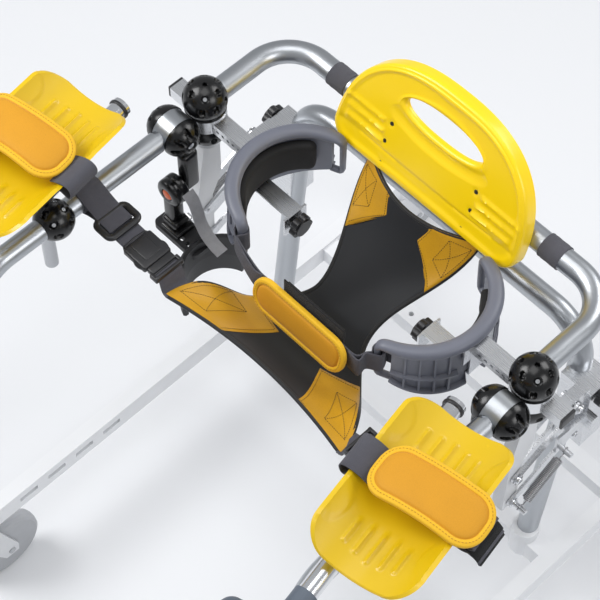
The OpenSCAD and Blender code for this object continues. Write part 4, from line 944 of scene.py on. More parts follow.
def make_sling_straps():
    """Webbing from the armrest tube through the slide and the buckle to the sling's front corner."""
    section = flat_strip(in_mm("web_width"), in_mm("web_thick"))
    wrap = ARM_R + 1.5
    for side, s in SIDES.items():
        far, near, corner = BUCKLE_X[side] + 30, BUCKLE_X[side], s * SLING_FRONT_HALF + SLING_SHIFT
        tube = Builder()
        ring = [Vector((s * FRAME_HALF + wrap * math.cos(t), STRAP_Y, ARM_Z + wrap * math.sin(t)))
                for t in circle(40)]
        tube.sweep(ring, section, (1, 0, 0), loop=True)
        for top in (1, -1):
            lift = 2.5 * top
            route = [(FRAME_HALF - 6, 15.5 * top), (FRAME_HALF - ARM_R - 8, 7 * top)]
            if s < 0:
                route += [(TRI_X + 18, lift - 1), (TRI_X, lift - 3)]
                route.append((TRI_X - 8, lift - 4) if top > 0 else (far, lift - 5))
            else:
                route += [(far, lift * 0.5 - 7.5), (far - 10, lift * 0.5 - 9)]
            tube.sweep(smooth_path([(s * x, STRAP_Y, ARM_Z + z) for x, z in route], 8), section)
        strap = tube.piece("sling_strap_loop_" + side, None, "grey_webbing", "webbing grey", sharp=50,
                           replaces=["sling_strap_" + side])
        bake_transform(strap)
        tail = Builder()
        route = [(s * (near - 20), STRAP_Y, ARM_Z - 9), (s * (near - 34), STRAP_Y, ARM_Z - 12),
                 (corner + s * 5, STRAP_Y - 1, SLING_FRONT_Z + 1.0),
                 (corner - s * 4, STRAP_Y - 2, SLING_FRONT_Z - 2.2)]
        tail.sweep(smooth_path(route, 8), section)
        tail.piece("sling_strap_tail_" + side, "upper_frame", "grey_webbing", "webbing grey", sharp=50)


# The buckle's blocks as (middle, size, rounding, its steps): the female half and its raised plate, the
# male half, its two arms, and the two bars that hold the webbing
BUCKLE_BLOCKS = (((-8, 0, 0), (42, 46, 11), 3.2, 4), ((-10, 0, 4.5), (30, 26, 4), 1.6, 3),
                 ((19, 0, 0), (12, 40, 9), 2.4, 3), ((29, -21, 0), (14, 5, 8), 1.6, 3),
                 ((29, 21, 0), (14, 5, 8), 1.6, 3), ((33, 0, 0.5), (5, 44, 8), 1.8, 3),
                 ((25, 0, -1), (3.6, 38, 5), 1.2, 2))
BUCKLE_LOOP = ((-28, 19), (-33, 19), (-33, 0))
BUCKLE_PRONG = ((14, 16), (6, 22), (-2, 23.5), (-9, 21))
GLIDE_HALF, GLIDE_CORNER, GLIDE_R, GLIDE_BAR, GLIDE_BAR_R, GLIDE_DROP = (15.5, 24.5), 7, 4.4, 22, 3, 3.2


def make_glide():
    """The right strap's three-bar slide."""
    glide, spot = Builder(), move(-TRI_X, STRAP_Y, ARM_Z - PLAY)
    ring = [spot @ Vector((x, y, 0)) for x, y in rounded_plan(*GLIDE_HALF, GLIDE_CORNER, 0, 5)]
    glide.sweep(ring, disc(GLIDE_R, 14, 1.15, 0.85), loop=True)
    glide.sweep([spot @ Vector((0, end * GLIDE_BAR, -GLIDE_DROP)) for end in (-1, 1)],
                disc(GLIDE_BAR_R, 10, 1.0, 0.7))
    glide.piece("sling_glide_right", "upper_frame", "black_plastic", "black satin")


def make_buckles():
    """Snap buckles with their prongs in the side openings."""
    for side, s in SIDES.items():
        shape = Builder()
        place = move(s * BUCKLE_X[side], STRAP_Y, ARM_Z - 9) @ spin(180 if s > 0 else 0, "Z")
        for middle, size, bevel, steps in BUCKLE_BLOCKS:
            shape.block(place @ move(*middle), size, bevel, steps)
        for end in (-1, 1):
            loop, prong = ([place @ Vector((x, end * y, 0)) for x, y in line]
                           for line in (BUCKLE_LOOP, BUCKLE_PRONG))
            shape.sweep(rounded(loop, 3), disc(4.6, 12, 0.55, 0.8))
            shape.sweep(smooth_path(prong, 5), disc(3.2, 10, 0.7))
        shape.piece("sling_buckle_" + side, "upper_frame", "black_plastic", "black satin",
                    replaces=["sling_buckles"])
        if s == RIGHT:
            make_glide()


# Trunk supports
LOOP_REACH = {1: 19, -1: 24}
# Where the shell's wall steps at its bracket and at its fins, and its ribs, in degrees
WALL_STEPS = {-9.6, -9.2, 9.2, 9.6, -17.6, -17.2, 17.2, 17.6}
BRACKET_HALF, FIN_HALF, SHELL_RIBS = 9.4, 17.4, (-57, -46, -35, -24, 24, 35, 46, 57)
FIN_DEEP, FIN_FLUSH, SHELL_FOOT, SHELL_RISE, BRACKET_FOOT = 6, 0.05, 3, 36, 27
# The rim's sections run RIM_TURN degrees apart on each side of its middle, the wall's WALL_TURN apart
RIM_STEPS, RIM_TURN, RIM_SIDES, WALL_TURN, SHELL_RIB_HALF = 18, 3.8, 20, 3.4, 1.3
WALL_IN, WALL_OUT = TRUNK_R - TRUNK_T / 2, TRUNK_R + TRUNK_T / 2


def on_trunk(s, radius, degrees, z, along=0.0):
    """A point of the shell on side s, by its place round the wall; along leads straight on from there."""
    a = math.radians(degrees)
    return Vector((s * (TRUNK_C + radius * math.cos(a) - along * math.sin(a)),
                   radius * math.sin(a) + along * math.cos(a), z))


def rim_line(end):
    """One end of the rim, turned down into a strap loop: degrees, along, height and the half sizes."""
    low, reach, edge = TRUNK_Z - TRUNK_H, LOOP_REACH[end] - 4.5, end * TRUNK_A
    leg = [(edge, end * k, low + 24, 5.0, 4.0) for k in (-2, 4, reach - 6)]
    leg += [(edge, end * (reach - 6 + 6 * math.sin(q)), low + 30 - 6 * math.cos(q), 5.4, 4.0)
            for q in (0.5, 1.0, 1.57)]
    leg += [(edge, end * reach, low + 30 + k * 10, 5.6 + 0.35 * k, 4.0) for k in range(1, 5)]
    for k in range(7):
        q = math.radians(15 * k)
        leg.append((edge, end * (reach - 12 + 12 * math.cos(q)), TRUNK_Z - 10 + 11 * math.sin(q),
                    7.2 + 0.25 * k, 4.2 + 0.35 * k))
    return leg


def shell_foot(bend):
    return TRUNK_Z - TRUNK_H + SHELL_FOOT + 20 * bend ** 3


def shell_rise(bend):
    return TRUNK_Z - TRUNK_H + SHELL_RISE + 4 * bend ** 2


def add_rim(shape, s):
    """A broad smooth rim that turns down into a strap loop at each end."""
    middle = []
    for k in range(1 - RIM_STEPS, RIM_STEPS):
        f = (1 - (k / RIM_STEPS) ** 2) ** 0.6
        middle.append((k * RIM_TURN, 0, TRUNK_Z + 1 + 2.5 * f, 8.8 + 2.2 * f, 6.4 + 2.6 * f))
    run = rim_line(-1) + middle + rim_line(1)[::-1]
    points, rows = [on_trunk(s, TRUNK_R, a, z, along) for a, along, z, _, _ in run], []
    for i, (a, _, _, wide, high) in enumerate(run):
        t = (points[min(i + 1, len(run) - 1)] - points[max(i - 1, 0)]).normalized()
        radial = Vector((s * math.cos(math.radians(a)), math.sin(math.radians(a)), 0))
        rows.append([points[i] + radial * (wide * squared_cos(q, SHELL_SQUARED))
                     + t.cross(radial) * (high * math.sin(q)) for q in circle(RIM_SIDES)])
    shape.rings(rows)


def add_wall(shape, s):
    """The wall, open below where the bracket passes, with two curved fins outside."""
    rows = []
    for a in sorted({round(k * WALL_TURN, 3) for k in range(-20, 21)} | WALL_STEPS):
        bend, bracket = abs(a) / TRUNK_A, abs(a) < BRACKET_HALF
        foot = TRUNK_Z - TRUNK_H + BRACKET_FOOT if bracket else shell_foot(bend)
        fin = FIN_FLUSH if bracket else FIN_DEEP
        mid = FIN_FLUSH if abs(a) < FIN_HALF else FIN_DEEP - 2.5 * bend ** 2
        rise = shell_rise(bend)
        foot_top = min(foot + 5, rise - 2)
        ring = [(WALL_IN, foot + 1), (WALL_IN + 1, foot), (WALL_OUT + fin - 1, foot),
                (WALL_OUT + fin, foot + 1), (WALL_OUT + fin, foot_top - 1), (WALL_OUT + fin * 0.6, foot_top),
                (WALL_OUT, foot_top + 1), (WALL_OUT, rise - 1), (WALL_OUT + mid * 0.6, rise),
                (WALL_OUT + mid, rise + 1), (WALL_OUT + mid, rise + 4), (WALL_OUT + mid * 0.6, rise + 5),
                (WALL_OUT, rise + 6.5), (WALL_OUT, TRUNK_Z - 2), (WALL_IN, TRUNK_Z - 2)]
        rows.append([on_trunk(s, r, a, z) for r, z in ring])
    shape.rings(rows)


def add_ribs(shape, s):
    """Upright ribs from fin to fin and from the upper fin to the rim."""
    wide = math.degrees(SHELL_RIB_HALF / TRUNK_R)
    for a in SHELL_RIBS:
        bend = abs(a) / TRUNK_A
        foot, rise = shell_foot(bend) + 2, shell_rise(bend) + 2
        for z0, z1, deep in ((foot, rise, 5), (rise, TRUNK_Z - 5, 3.6 - 2 * bend ** 2)):
            corners = ((WALL_OUT - 1, -wide), (WALL_OUT + deep, -wide), (WALL_OUT + deep, wide),
                       (WALL_OUT - 1, wide))
            shape.rings([[on_trunk(s, r, a + w, z) for r, w in corners] for z in (z0, z1)])


def make_trunk_shell(side):
    shape = Builder()
    for add in (add_rim, add_wall, add_ribs):
        add(shape, SIDES[side])
    shape.piece("trunk_shell_mould_" + side, "trunk_" + side, "slate_plastic", "shell slate", sharp=42,
                replaces=["trunk_shell_" + side])


FOAM_EDGE = [(0.0, -2), (0.0, 2.5), (0.5, 4.8), (1.6, 6.6), (3.6, 7.7), (8, 8.3), (16, 8.5), (25, 8.6)]
FOAM_DOWN, FOAM_HALF, FOAM_CORNER, NO_BORDER = 36, 27, 12, 99


def make_trunk_pad(side):
    """A moulded foam pad inside the shell, thick in the middle and drawn in at its edges."""
    shape, s = Builder(), SIDES[side]
    outer = TRUNK_R - TRUNK_T / 2 - 0.5

    def lay(along, across, h):
        a, r = along / outer, outer - 5 - h
        return Vector((s * (TRUNK_C + r * math.cos(a)), -r * math.sin(a), TRUNK_Z - FOAM_DOWN + across))
    half = math.radians(TRUNK_A - 12) * outer - 2
    shape.pad(half, FOAM_HALF, FOAM_CORNER, FOAM_EDGE, 4.4, lay, NO_BORDER)
    pad = shape.piece("trunk_pad_foam_" + side, "trunk_" + side, "black_foam", "foam black", sharp=70,
                      replaces=["trunk_pad_" + side], subdivide=1)


STRAP_Z = TRUNK_Z - 32


def by_loop(s, across, along):
    """A point beside the strap loop at a shell's front end."""
    return on_trunk(s, TRUNK_R + across, -TRUNK_A, STRAP_Z, -along)


FRONT_Y, FRONT_X, FRONT_W, FRONT_H, FRONT_LEAN, FRONT_CORNER = -120, 22, 162, 58, 14, 26
# The webbing's two layers as (across, along) beside the loop, then (inwards, forwards) from the pad's end
FRONT_LAYERS = ((((-8.6, 3), (-8.6, 16), (-6.4, 23.6), (0, 25.8), (6.8, 24.6), (10, 30)), ((6, 0), (-24, 0))),
                (((-5.6, 10.5), (2, 10.2), (8.6, 12.5), (12, 30)), ((14, -2.6), (-4, -2.4))))
PAD_EDGE = [(0.0, -3.5), (0.0, -1.2), (0.6, 0.0), (2.2, 0.9), (5.5, 1.2), (7.2, 0.9), (8.0, 0.0),
            (8.5, -0.6), (9.1, 0.0), (10.3, 1.2), (13, 2.0), (18, 2.6), (24, 2.8)]


def make_front_strap():
    """Two layers of webbing round each shell's loop, and the leaning pad with its hook tape between."""
    section = flat_strip(in_mm("web_width"), STRAP_T)
    for side, s in SIDES.items():
        end, shape = FRONT_W / 2 + s * FRONT_X, Builder()
        for near, onward in FRONT_LAYERS:
            route = [by_loop(s, *q) for q in near]
            route += [Vector((s * (end + x), FRONT_Y + y, STRAP_Z)) for x, y in onward]
            shape.sweep(smooth_path(route, 8), section, (0, -1, 0))
        strap = shape.piece("front_strap_web_" + side, None, "grey_webbing", "webbing grey", sharp=50,
                            replaces=["front_strap_" + side])
        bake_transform(strap)
    lean = move(FRONT_X, FRONT_Y - 2.5, TRUNK_Z - 10) @ spin(-FRONT_LEAN, "X") @ move(0, 0, -22)

    def lay(along, across, h):
        return lean @ Vector((along, -8.0 - h, across))
    make_bordered_pad("front_pad_%s", "upper_frame", (FRONT_W / 2, FRONT_H / 2), FRONT_CORNER, PAD_EDGE,
                      7.4, lay, 8.3, 10, 4.8)
    # Hook tape between the pad and the webbing, folded over itself
    tape = Builder()
    tape.block(move(FRONT_X + 10, FRONT_Y + 3.4, STRAP_Z + 13), (106, 2.4, 58), 1.0, 3)
    tape.block(move(FRONT_X + 12, FRONT_Y + 6.2, STRAP_Z + 12), (100, 2.4, 54), 1.0, 3)
    tape.piece("front_pad_tape", "upper_frame", "grey_webbing", "hook tape")


# Springs and hardware
SPRING_CURLS, SPRING_R, WIRE_R, SPRING_X, SPRING_LEAD = 32, 7.5, 1, 26.5, 13
CURL_POINTS, HOOK_EYE = 16, 4 + WIRE_R + 0.15
HOOK_HIGH, HOOK_LOW = (64, 562), (-16, 506)


def wire_path(x):
    """The line of one spring's wire: an open hook, the curls, and the other hook."""
    a, b = Vector((x, *HOOK_HIGH)), Vector((x, *HOOK_LOW))
    e = (b - a).normalized()
    u = Vector((1, 0, 0))
    v = e.cross(u)
    body, n = (b - a).length - 2 * SPRING_LEAD, SPRING_CURLS * CURL_POINTS
    turns = [math.radians(160 + 12.5 * i) for i in range(17)]
    path = [a + HOOK_EYE * (-math.cos(t) * v + math.sin(t) * e) for t in turns]
    for i in range(n + 1):
        t = math.radians(360 / CURL_POINTS * i)
        r = max(min(1.0, i / CURL_POINTS, (n - i) / CURL_POINTS), 0.15) * (SPRING_R - WIRE_R)
        path.append(a + e * (SPRING_LEAD + body * i / n) + r * (math.cos(t) * u + math.sin(t) * v))
    turns = [math.radians(20 + 12.5 * i) for i in range(17)]
    return path + [b + HOOK_EYE * (-math.cos(t) * v - math.sin(t) * e) for t in turns]


def make_springs():
    section = disc(WIRE_R, bpy.context.scene.gait_sizes.wire_sides)
    for side, s in SIDES.items():
        shape = Builder()
        shape.sweep(wire_path(s * (FRAME_HALF + SPRING_X)), section, (0, 1, 0))
        shape.piece("spring_wires_" + side, "base", "spring_steel", "spring steel", sharp=80,
                    replaces=["spring_" + side])


def make_sleeves():
    """Woven sleeves with hemmed ends, beside the panel on the upper loop."""
    shape = Builder()
    profile = [(0.2, 0), (1.4, 0.4), (1.6, 2), (1.3, 4)]
    profile += [(1.5 + 0.15 * math.sin(k), 4 + 24 * k / 10) for k in range(1, 10)]
    profile += [(1.3, 28), (1.6, 30), (1.4, 31.6), (0.2, 32)]
    for s in SIDES.values():
        place = move(s * (PANEL_W / 2 + 6), LOOP_BACK, LOOP_Z) @ spin(90 if s > 0 else -90, "Y")
        shape.lathe([(TUBE_R + r, h) for r, h in profile], place)
    shape.piece("loop_sleeve_cloth", "upper_frame", "grey_webbing", "sleeve grey", replaces=["loop_sleeves"])


# Clamps and fittings
def screw(shape, place, radius):
    """A socket screw's domed head, its socket facing along place's Z."""
    shape.lathe([(0.01, -1.2), (radius * 0.42, -1.2), (radius * 0.46, 0.9), (radius * 0.8, 0.9),
                 (radius * 0.97, 0.3), (radius, -0.6), (radius, -2.2)], place, 20)


def aim(point, direction):
    direction = Vector(direction).normalized()
    return Matrix.Translation(point) @ direction.to_track_quat("Z", "Y").to_matrix().to_4x4()


BALL_R, TILT_R, TILT_Y, TILT_Z = 30.5, 28, 57, LOOP_Z - 18
POST_Y, POST_BALL_R = 262, 27.5
HUB_X, HUB_Z, BRACKET_AT, BRACKET_SIZE = 267, 702, (-58, 725), (18, 27, 74)
BALL_SCREWS, SEAT_OUT, PLUG_X, PLUG_SIZE, ROD_END = (140, 320), 34.4, 351.2, (4.6, 24.8, 19.8), 137
PIT_DEEP, PIT_SOFT, SKIN_STEP = 5.5, 0.9, 1.6
# Pits of the corner ball, its lower cap and the post's ball as (polar, around, half length, half width)
BALL_PITS = ([(42, 60 * i + 20, 4.7, 4.7) for i in range(6)] + [(0, 0, 4.7, 4.7)]
             + [(80, a, 6.4, 3.8) for a in (-10, 30, 150, 190, 230, 310)])
CAP_PITS = [(97, 45 * i + 22, 6, 3.6) for i in range(8)]
POST_PITS = [(polar, 45 * i + turn, 6.2, 4.2) for polar, turn in ((63, 0), (117, 22)) for i in range(8)]


def pit(along, across, long, wide):
    """How deep a spot lies in a rounded slot: 0 outside it, 1 on its floor."""
    far = math.hypot(max(0.0, abs(along) - (long - wide)), across) - wide
    return ease(max(0.0, min(1.0, 0.5 - far / PIT_SOFT)))


def ball_skin(radius, first, last, pits):
    """A ball's profile by angle, from its own Z down, with its pits."""
    steps = int((last - first) / SKIN_STEP)

    def profile(a):
        points = []
        for k in range(steps + 1):
            polar = first + (last - first) * k / steps
            up, deep = math.radians(polar), 0.0
            for down, around, long, wide in pits:
                turn = (math.degrees(a) - around + 180) % 360 - 180
                across = math.radians(turn) * radius * math.sin(up)
                deep = max(deep, pit(math.radians(polar - down) * radius, across, long, wide))
            r = radius - PIT_DEEP * deep
            points.append((max(0.01, r * math.sin(up)), r * math.cos(up)))
        return points
    return profile


DOME_FOOT, DOME_HIGH, DOME_STEPS, DOME_SLOT, DOME_SEAT, SEAT_UP = 13, 25, 56, 18.2, 7, 33


def tilt_dome(a):
    """A tilt clamp's dome, with a screw seat in the middle and eight radial slots."""
    points = []
    for k in range(DOME_STEPS + 1):
        polar = math.radians(90 * k / DOME_STEPS)
        r, z = TILT_R * math.sin(polar), DOME_FOOT + DOME_HIGH * math.cos(polar)
        turn = (math.degrees(a) + 22.5) % 45 - 22.5
        deep = pit(r - DOME_SLOT, math.radians(turn) * r, 7.2, 3.5)
        z -= min(9, max(0.0, z - DOME_FOOT - 1)) * deep
        z = min(z, SEAT_UP + 5 * (1 - pit(r, 0, DOME_SEAT, DOME_SEAT)))
        points.append((max(0.01, r), z))
    return points + [(23, DOME_FOOT - 1), (0.01, DOME_FOOT - 1)]


def make_clamp_shells():
    """The corner balls with their pits, the lower caps, the tilt domes and the thigh brackets."""
    shape = Builder()
    top, low = ball_skin(BALL_R, 0, 126, BALL_PITS), ball_skin(BALL_R, 65, 136, CAP_PITS)
    for s in SIDES.values():
        x = s * FRAME_HALF
        shape.lathe(lambda a: top(a) + [(23, -18), (0.01, -18)], move(x, 0, LOOP_Z), 150)
        shape.lathe(lambda a: [(0.01, 13)] + low(a) + [(0.01, -22)], move(x, 0, LOOP_Z - 55), 120)
        for turn in (-90, 90):
            shape.lathe(tilt_dome, move(x, -TILT_Y, TILT_Z) @ spin(turn, "Y"), 144)
        shape.block(move(s * HUB_X, *BRACKET_AT), BRACKET_SIZE, 6.5, 5)
    shape.piece("clamp_mouldings", "upper_frame", "black_plastic", "black gloss", sharp=60,
                replaces=["clamp_shells"])


EYE_PROFILE = [(7.1, -13.8), (9.6, -13.8), (10.9, -12.4), (10.9, 12.4), (9.6, 13.8), (7.1, 13.8)]


def make_gutter_ball(side):
    """The pitted ball clamp on the armrest tube, with the eye for the gutter's post."""
    shape, s, bore = Builder(), SIDES[side], ARM_R + 0.1
    at, skin = move(s * FRAME_HALF, -POST_Y, ARM_Z), ball_skin(POST_BALL_R, 34, 146, POST_PITS)
    shape.lathe(lambda a: [(bore, 19), (bore, 22)] + skin(a) + [(bore, -22), (bore, -19)],
                at @ spin(90, "X"), 150, closed=True)
    shape.lathe(EYE_PROFILE, at @ move(s * 23, 0, 0), 40, closed=True)
    shape.piece("gutter_ball_mould_" + side, "armrest_" + side, "black_plastic", "black gloss", sharp=60,
                replaces=["gutter_ball_" + side])


# Screws in the post ball's pits as (polar, turn), and the chrome rod's end ring
POST_SCREWS = ((63, 45), (63, 135), (117, 67), (117, 112), (63, 225))
RING_PROFILE = [(ROD_R, 0), (14.2, 0.5), (14.6, 1.2), (14.6, 4), (14.2, 4.7), (ROD_R, 5)]


def polar_direction(polar, turn):
    a, b = math.radians(turn), math.radians(polar)
    return Vector((math.sin(b) * math.cos(a), math.sin(b) * math.sin(a), math.cos(b)))


def make_clamp_details():
    """Chrome screws in the balls' pits and the tilt domes, and the end plugs of bars and rods."""
    for side, s in SIDES.items():
        shape, post, plug, ring = Builder(), Builder(), Builder(), Builder()
        for turn in BALL_SCREWS:
            d = polar_direction(42, turn)
            screw(shape, aim(Vector((s * FRAME_HALF, 0, LOOP_Z)) + d * (BALL_R - 3.4), d), 3.4)
        for x in (-1, 1):
            screw(shape, aim((s * FRAME_HALF + x * SEAT_OUT, -TILT_Y, TILT_Z), (x, 0, 0)), 5.4)
        shape.piece("corner_screws_" + side, "upper_frame", "spring_steel", "bolt chrome")
        for polar, turn in POST_SCREWS:
            d = polar_direction(polar, turn)
            d = Vector((d.x, -d.z, d.y))
            screw(post, aim(Vector((s * FRAME_HALF, -POST_Y, ARM_Z)) + d * (POST_BALL_R - 3.2), d), 3.2)
        post.piece("gutter_screws_" + side, "armrest_" + side, "spring_steel", "bolt chrome")
        plug.block(move(s * PLUG_X, 0, LOOP_Z - 30), PLUG_SIZE, 1.6, 3)
        plug.piece("trunk_bar_plug_" + side, "trunk_" + side, "black_plastic", "black satin")
        place = gutter_place(side) @ move(-s * ROD_OFF[side], ROD_END, ROD_Z) @ spin(-90, "X")
        ring.lathe(RING_PROFILE, place, 40, closed=True)
        ring.piece("rod_ring_" + side, "gutter_" + side, "black_plastic", "black satin")


PIVOTS, LINK_GAP, PIVOT_X = (("base", 94, 622), ("upper_frame", -16, 571)), 65, FRAME_HALF + 15.6
WASHER = [(4.2, 0), (8.2, 0), (8.6, 0.6), (8.2, 1.3), (4.2, 1.3)]


def make_link_hardware():
    """Chrome bolt heads and washers on the links' pivots."""
    for side, s in SIDES.items():
        for body, y, z in PIVOTS:
            shape = Builder()
            for drop in (0, LINK_GAP):
                spot = aim((s * PIVOT_X, y, z - drop), (s, 0, 0))
                shape.lathe(WASHER, spot, 28)
                screw(shape, spot @ move(0, 0, 3.2), 5.4)
            shape.piece("pivot_bolts_%s_%s" % (body, side), body, "spring_steel", "bolt chrome")


KNUCKLE = [(0.01, 0), (18, 0), (20.3, 1.2), (21, 3), (21, 11), (20.1, 12), (21, 13), (21, 20), (20.3, 22.8),
           (18, 25), (14, 26), (11, 26), (9.6, 25.4), (9, 24), (9, 22.5), (0.01, 22.5)]
BUTTON = [(0.01, 26.6), (3.5, 26.5), (6.5, 25.8), (8.2, 24.6), (8.7, 23), (0.01, 22.8)]
# The hanging bar and its foot's two steps as (middle, size, rounding, its steps), on the left side
ARM_BLOCKS = (((HUB_X, -88, 665), (23.6, 21.6, 76), 7.5, 5), ((259, -90, 632), (36, 34, 8), 3.4, 4),
              ((263, -89, 641), (30, 27, 14), 5, 4))


def make_thigh_arm(side):
    """A round knuckle with an orange button, the hanging bar and its foot."""
    shape, button, s = Builder(), Builder(), SIDES[side]
    hub = move(s * HUB_X, -73, HUB_Z) @ spin(90, "X")
    shape.lathe(KNUCKLE, hub, 72)
    for (x, y, z), size, bevel, steps in ARM_BLOCKS:
        shape.block(move(s * x, y, z), size, bevel, steps)
    shape.piece("thigh_arm_mould_" + side, "thigh_" + side, "black_plastic", "black gloss", sharp=50,
                replaces=["thigh_arm_" + side])
    button.lathe(BUTTON, hub, 40)
    button.piece("thigh_button_" + side, "thigh_" + side, "black_plastic", "hub orange")


CUFF_X, CUFF_Y, CUFF_Z, CUFF_R, CUFF_TURN = 160, -100, 600, 64.5, 62
LOOSE_STRAP = [(240, 722), (229, 712), (222, 694), (217, 676), (207, 660), (192, 650), (176, 646)]
LOOSE_Y, LOOSE_W, CUFF_WEB, PALE_T = -84, 19, 38, 1.8


def make_thigh_straps():
    """Pale webbing round the cuffs' backs, and the loose strap from each knuckle into its cuff."""
    turns = [math.radians(-CUFF_TURN + 2 * CUFF_TURN * k / 14) for k in range(15)]
    for side, s in SIDES.items():
        shape, loose = Builder(), Builder()
        path = [(s * (CUFF_X + CUFF_R * math.cos(a)), CUFF_Y + CUFF_R * math.sin(a), CUFF_Z) for a in turns]
        shape.sweep(path, flat_strip(CUFF_WEB, PALE_T), (s, 0, 0.0001))
        shape.piece("cuff_webbing_" + side, "cuff_" + side, "grey_webbing", "webbing pale", sharp=50)
        route = [(s * x, LOOSE_Y, z) for x, z in LOOSE_STRAP]
        loose.sweep(smooth_path(route, 8), flat_strip(LOOSE_W, PALE_T))
        loose.piece("thigh_webbing_" + side, "thigh_" + side, "grey_webbing", "webbing pale", sharp=50)


WHEEL_X, WHEEL_Y, WHEEL_R = 315, {"front": -438, "rear": 456}, 60
HUB_RING = [(6.5, 13.8), (9, 14.3), (11.5, 13.9), (11.8, 13.1)]


def make_wheels():
    """Hub rings on every castor wheel."""
    for end, y in WHEEL_Y.items():
        for side, s in SIDES.items():
            shape = Builder()
            for turn in (-90, 90):
                shape.lathe(HUB_RING, move(s * WHEEL_X, y, WHEEL_R) @ spin(turn, "Y"), 32)
            shape.piece("hub_%s_%s" % (end, side), "wheel_%s_%s" % (end, side), "grey_paint", "hub grey")


# Finishes of the CAD solids that stay in view, single ones and those with one on each side
CAD_FINISH = {
    "base_frame": "white paint", "rear_arch": "tube silver", "upper_loop": "tube silver",
    "spring_posts": "bar aluminium", "corner_bands": "turned aluminium",
    "carriers": "grey paint", "panel_screws": "dark steel",
}
PAIR_FINISH = {
    "preload_knob": "black satin", "brake_pedal": "brake red", "upper_link": "bar aluminium",
    "lower_link": "bar aluminium", "armrest_tube": "tube silver", "gutter_post": "post steel",
    "gutter_rod": "chrome", "handgrip": "grip slate", "trunk_bar": "bar aluminium",
    "trunk_knob": "black satin", "thigh_cuff": "cuff black",
    "castor_fork_front": "grey paint", "castor_fork_rear": "grey paint",
    "castor_wheel_front": "tyre grey", "castor_wheel_rear": "tyre grey",
}


def finish_frame():
    pairs = [(base + "_" + side, finish) for base, finish in PAIR_FINISH.items() for side in SIDES]
    for name, finish in [*CAD_FINISH.items(), *pairs]:
        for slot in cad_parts[name].material_slots:
            slot.material = finishes[finish]


# Stage
BACKGROUND, FLOOR_COLOUR = (0.83, 0.84, 0.86, 1), (0.79, 0.80, 0.82, 1)
AIR, AIR_STRENGTH = (0.95, 0.97, 1.0, 1), 0.45
# The floor's half size, where it starts to fade and where it has gone, and how far it lies below the wheels
FLOOR_HALF, FLOOR_NEAR, FLOOR_FAR, FLOOR_LOW = 6, 1.6, 3.2, 0.0005
# Softboxes as (name, place, what they face, size, watts)
SOFTBOXES = (("key softbox", (-1.6, -1.2, 2.7), (0, -0.1, 0.7), 1.5, 53),
             ("back softbox", (0.6, 2.2, 2.6), (0, 0, 0.7), 1.4, 28),
             ("side softbox", (2.3, 0.2, 2.2), (0, 0, 0.7), 1.2, 18),
             ("top softbox", (0.0, -0.2, 3.4), (0, 0, 0), 1.6, 17))
CAMERA_AT, CAMERA_TILT, CAMERA_TURN, LENS, SENSOR = (1.006, -1.081, 2.997), 32, 46, 126, 36


def make_world():
    world = bpy.data.worlds.new("Soft studio")
    bpy.context.scene.world = world
    world.use_nodes = True
    tree = world.node_tree
    tree.nodes.clear()
    path = tree.nodes.new("ShaderNodeLightPath")
    seen = maths(tree, "MAXIMUM", path.outputs["Is Camera Ray"], path.outputs["Is Transmission Ray"])
    plain = node(tree, "ShaderNodeBackground", {"Color": AIR, "Strength": AIR_STRENGTH})
    shown = node(tree, "ShaderNodeBackground", {"Color": BACKGROUND, "Strength": 1.0})
    mix = node(tree, "ShaderNodeMixShader", {0: seen, 1: plain.outputs[0], 2: shown.outputs[0]})
    leave = tree.nodes.new("ShaderNodeOutputWorld")
    tree.links.new(mix.outputs[0], leave.inputs[0])


def make_floor_paint():
    """Pale paint that far from the object fades into the background, for the camera only."""
    paint = bpy.data.materials.new("pale floor")
    paint.use_nodes = True
    tree = paint.node_tree
    surface = tree.nodes["Principled BSDF"]
    surface.inputs["Base Color"].default_value = FLOOR_COLOUR
    surface.inputs["Roughness"].default_value = 0.9
    surface.inputs["Specular IOR Level"].default_value = 0.1
    where = tree.nodes.new("ShaderNodeNewGeometry")
    reach = node(tree, "ShaderNodeVectorMath", {0: where.outputs["Position"]}, operation="LENGTH")
    fade = node(tree, "ShaderNodeMapRange", {"Value": reach.outputs["Value"], "From Min": FLOOR_NEAR,
                                             "From Max": FLOOR_FAR}, interpolation_type="SMOOTHSTEP")
    looked = tree.nodes.new("ShaderNodeLightPath").outputs["Is Camera Ray"]
    share = maths(tree, "MULTIPLY", fade.outputs["Result"], looked)
    glow = node(tree, "ShaderNodeEmission", {"Color": BACKGROUND})
    both = node(tree, "ShaderNodeMixShader", {0: share, 1: surface.outputs[0], 2: glow.outputs[0]})
    tree.links.new(both.outputs[0], tree.nodes["Material Output"].inputs["Surface"])
    return paint


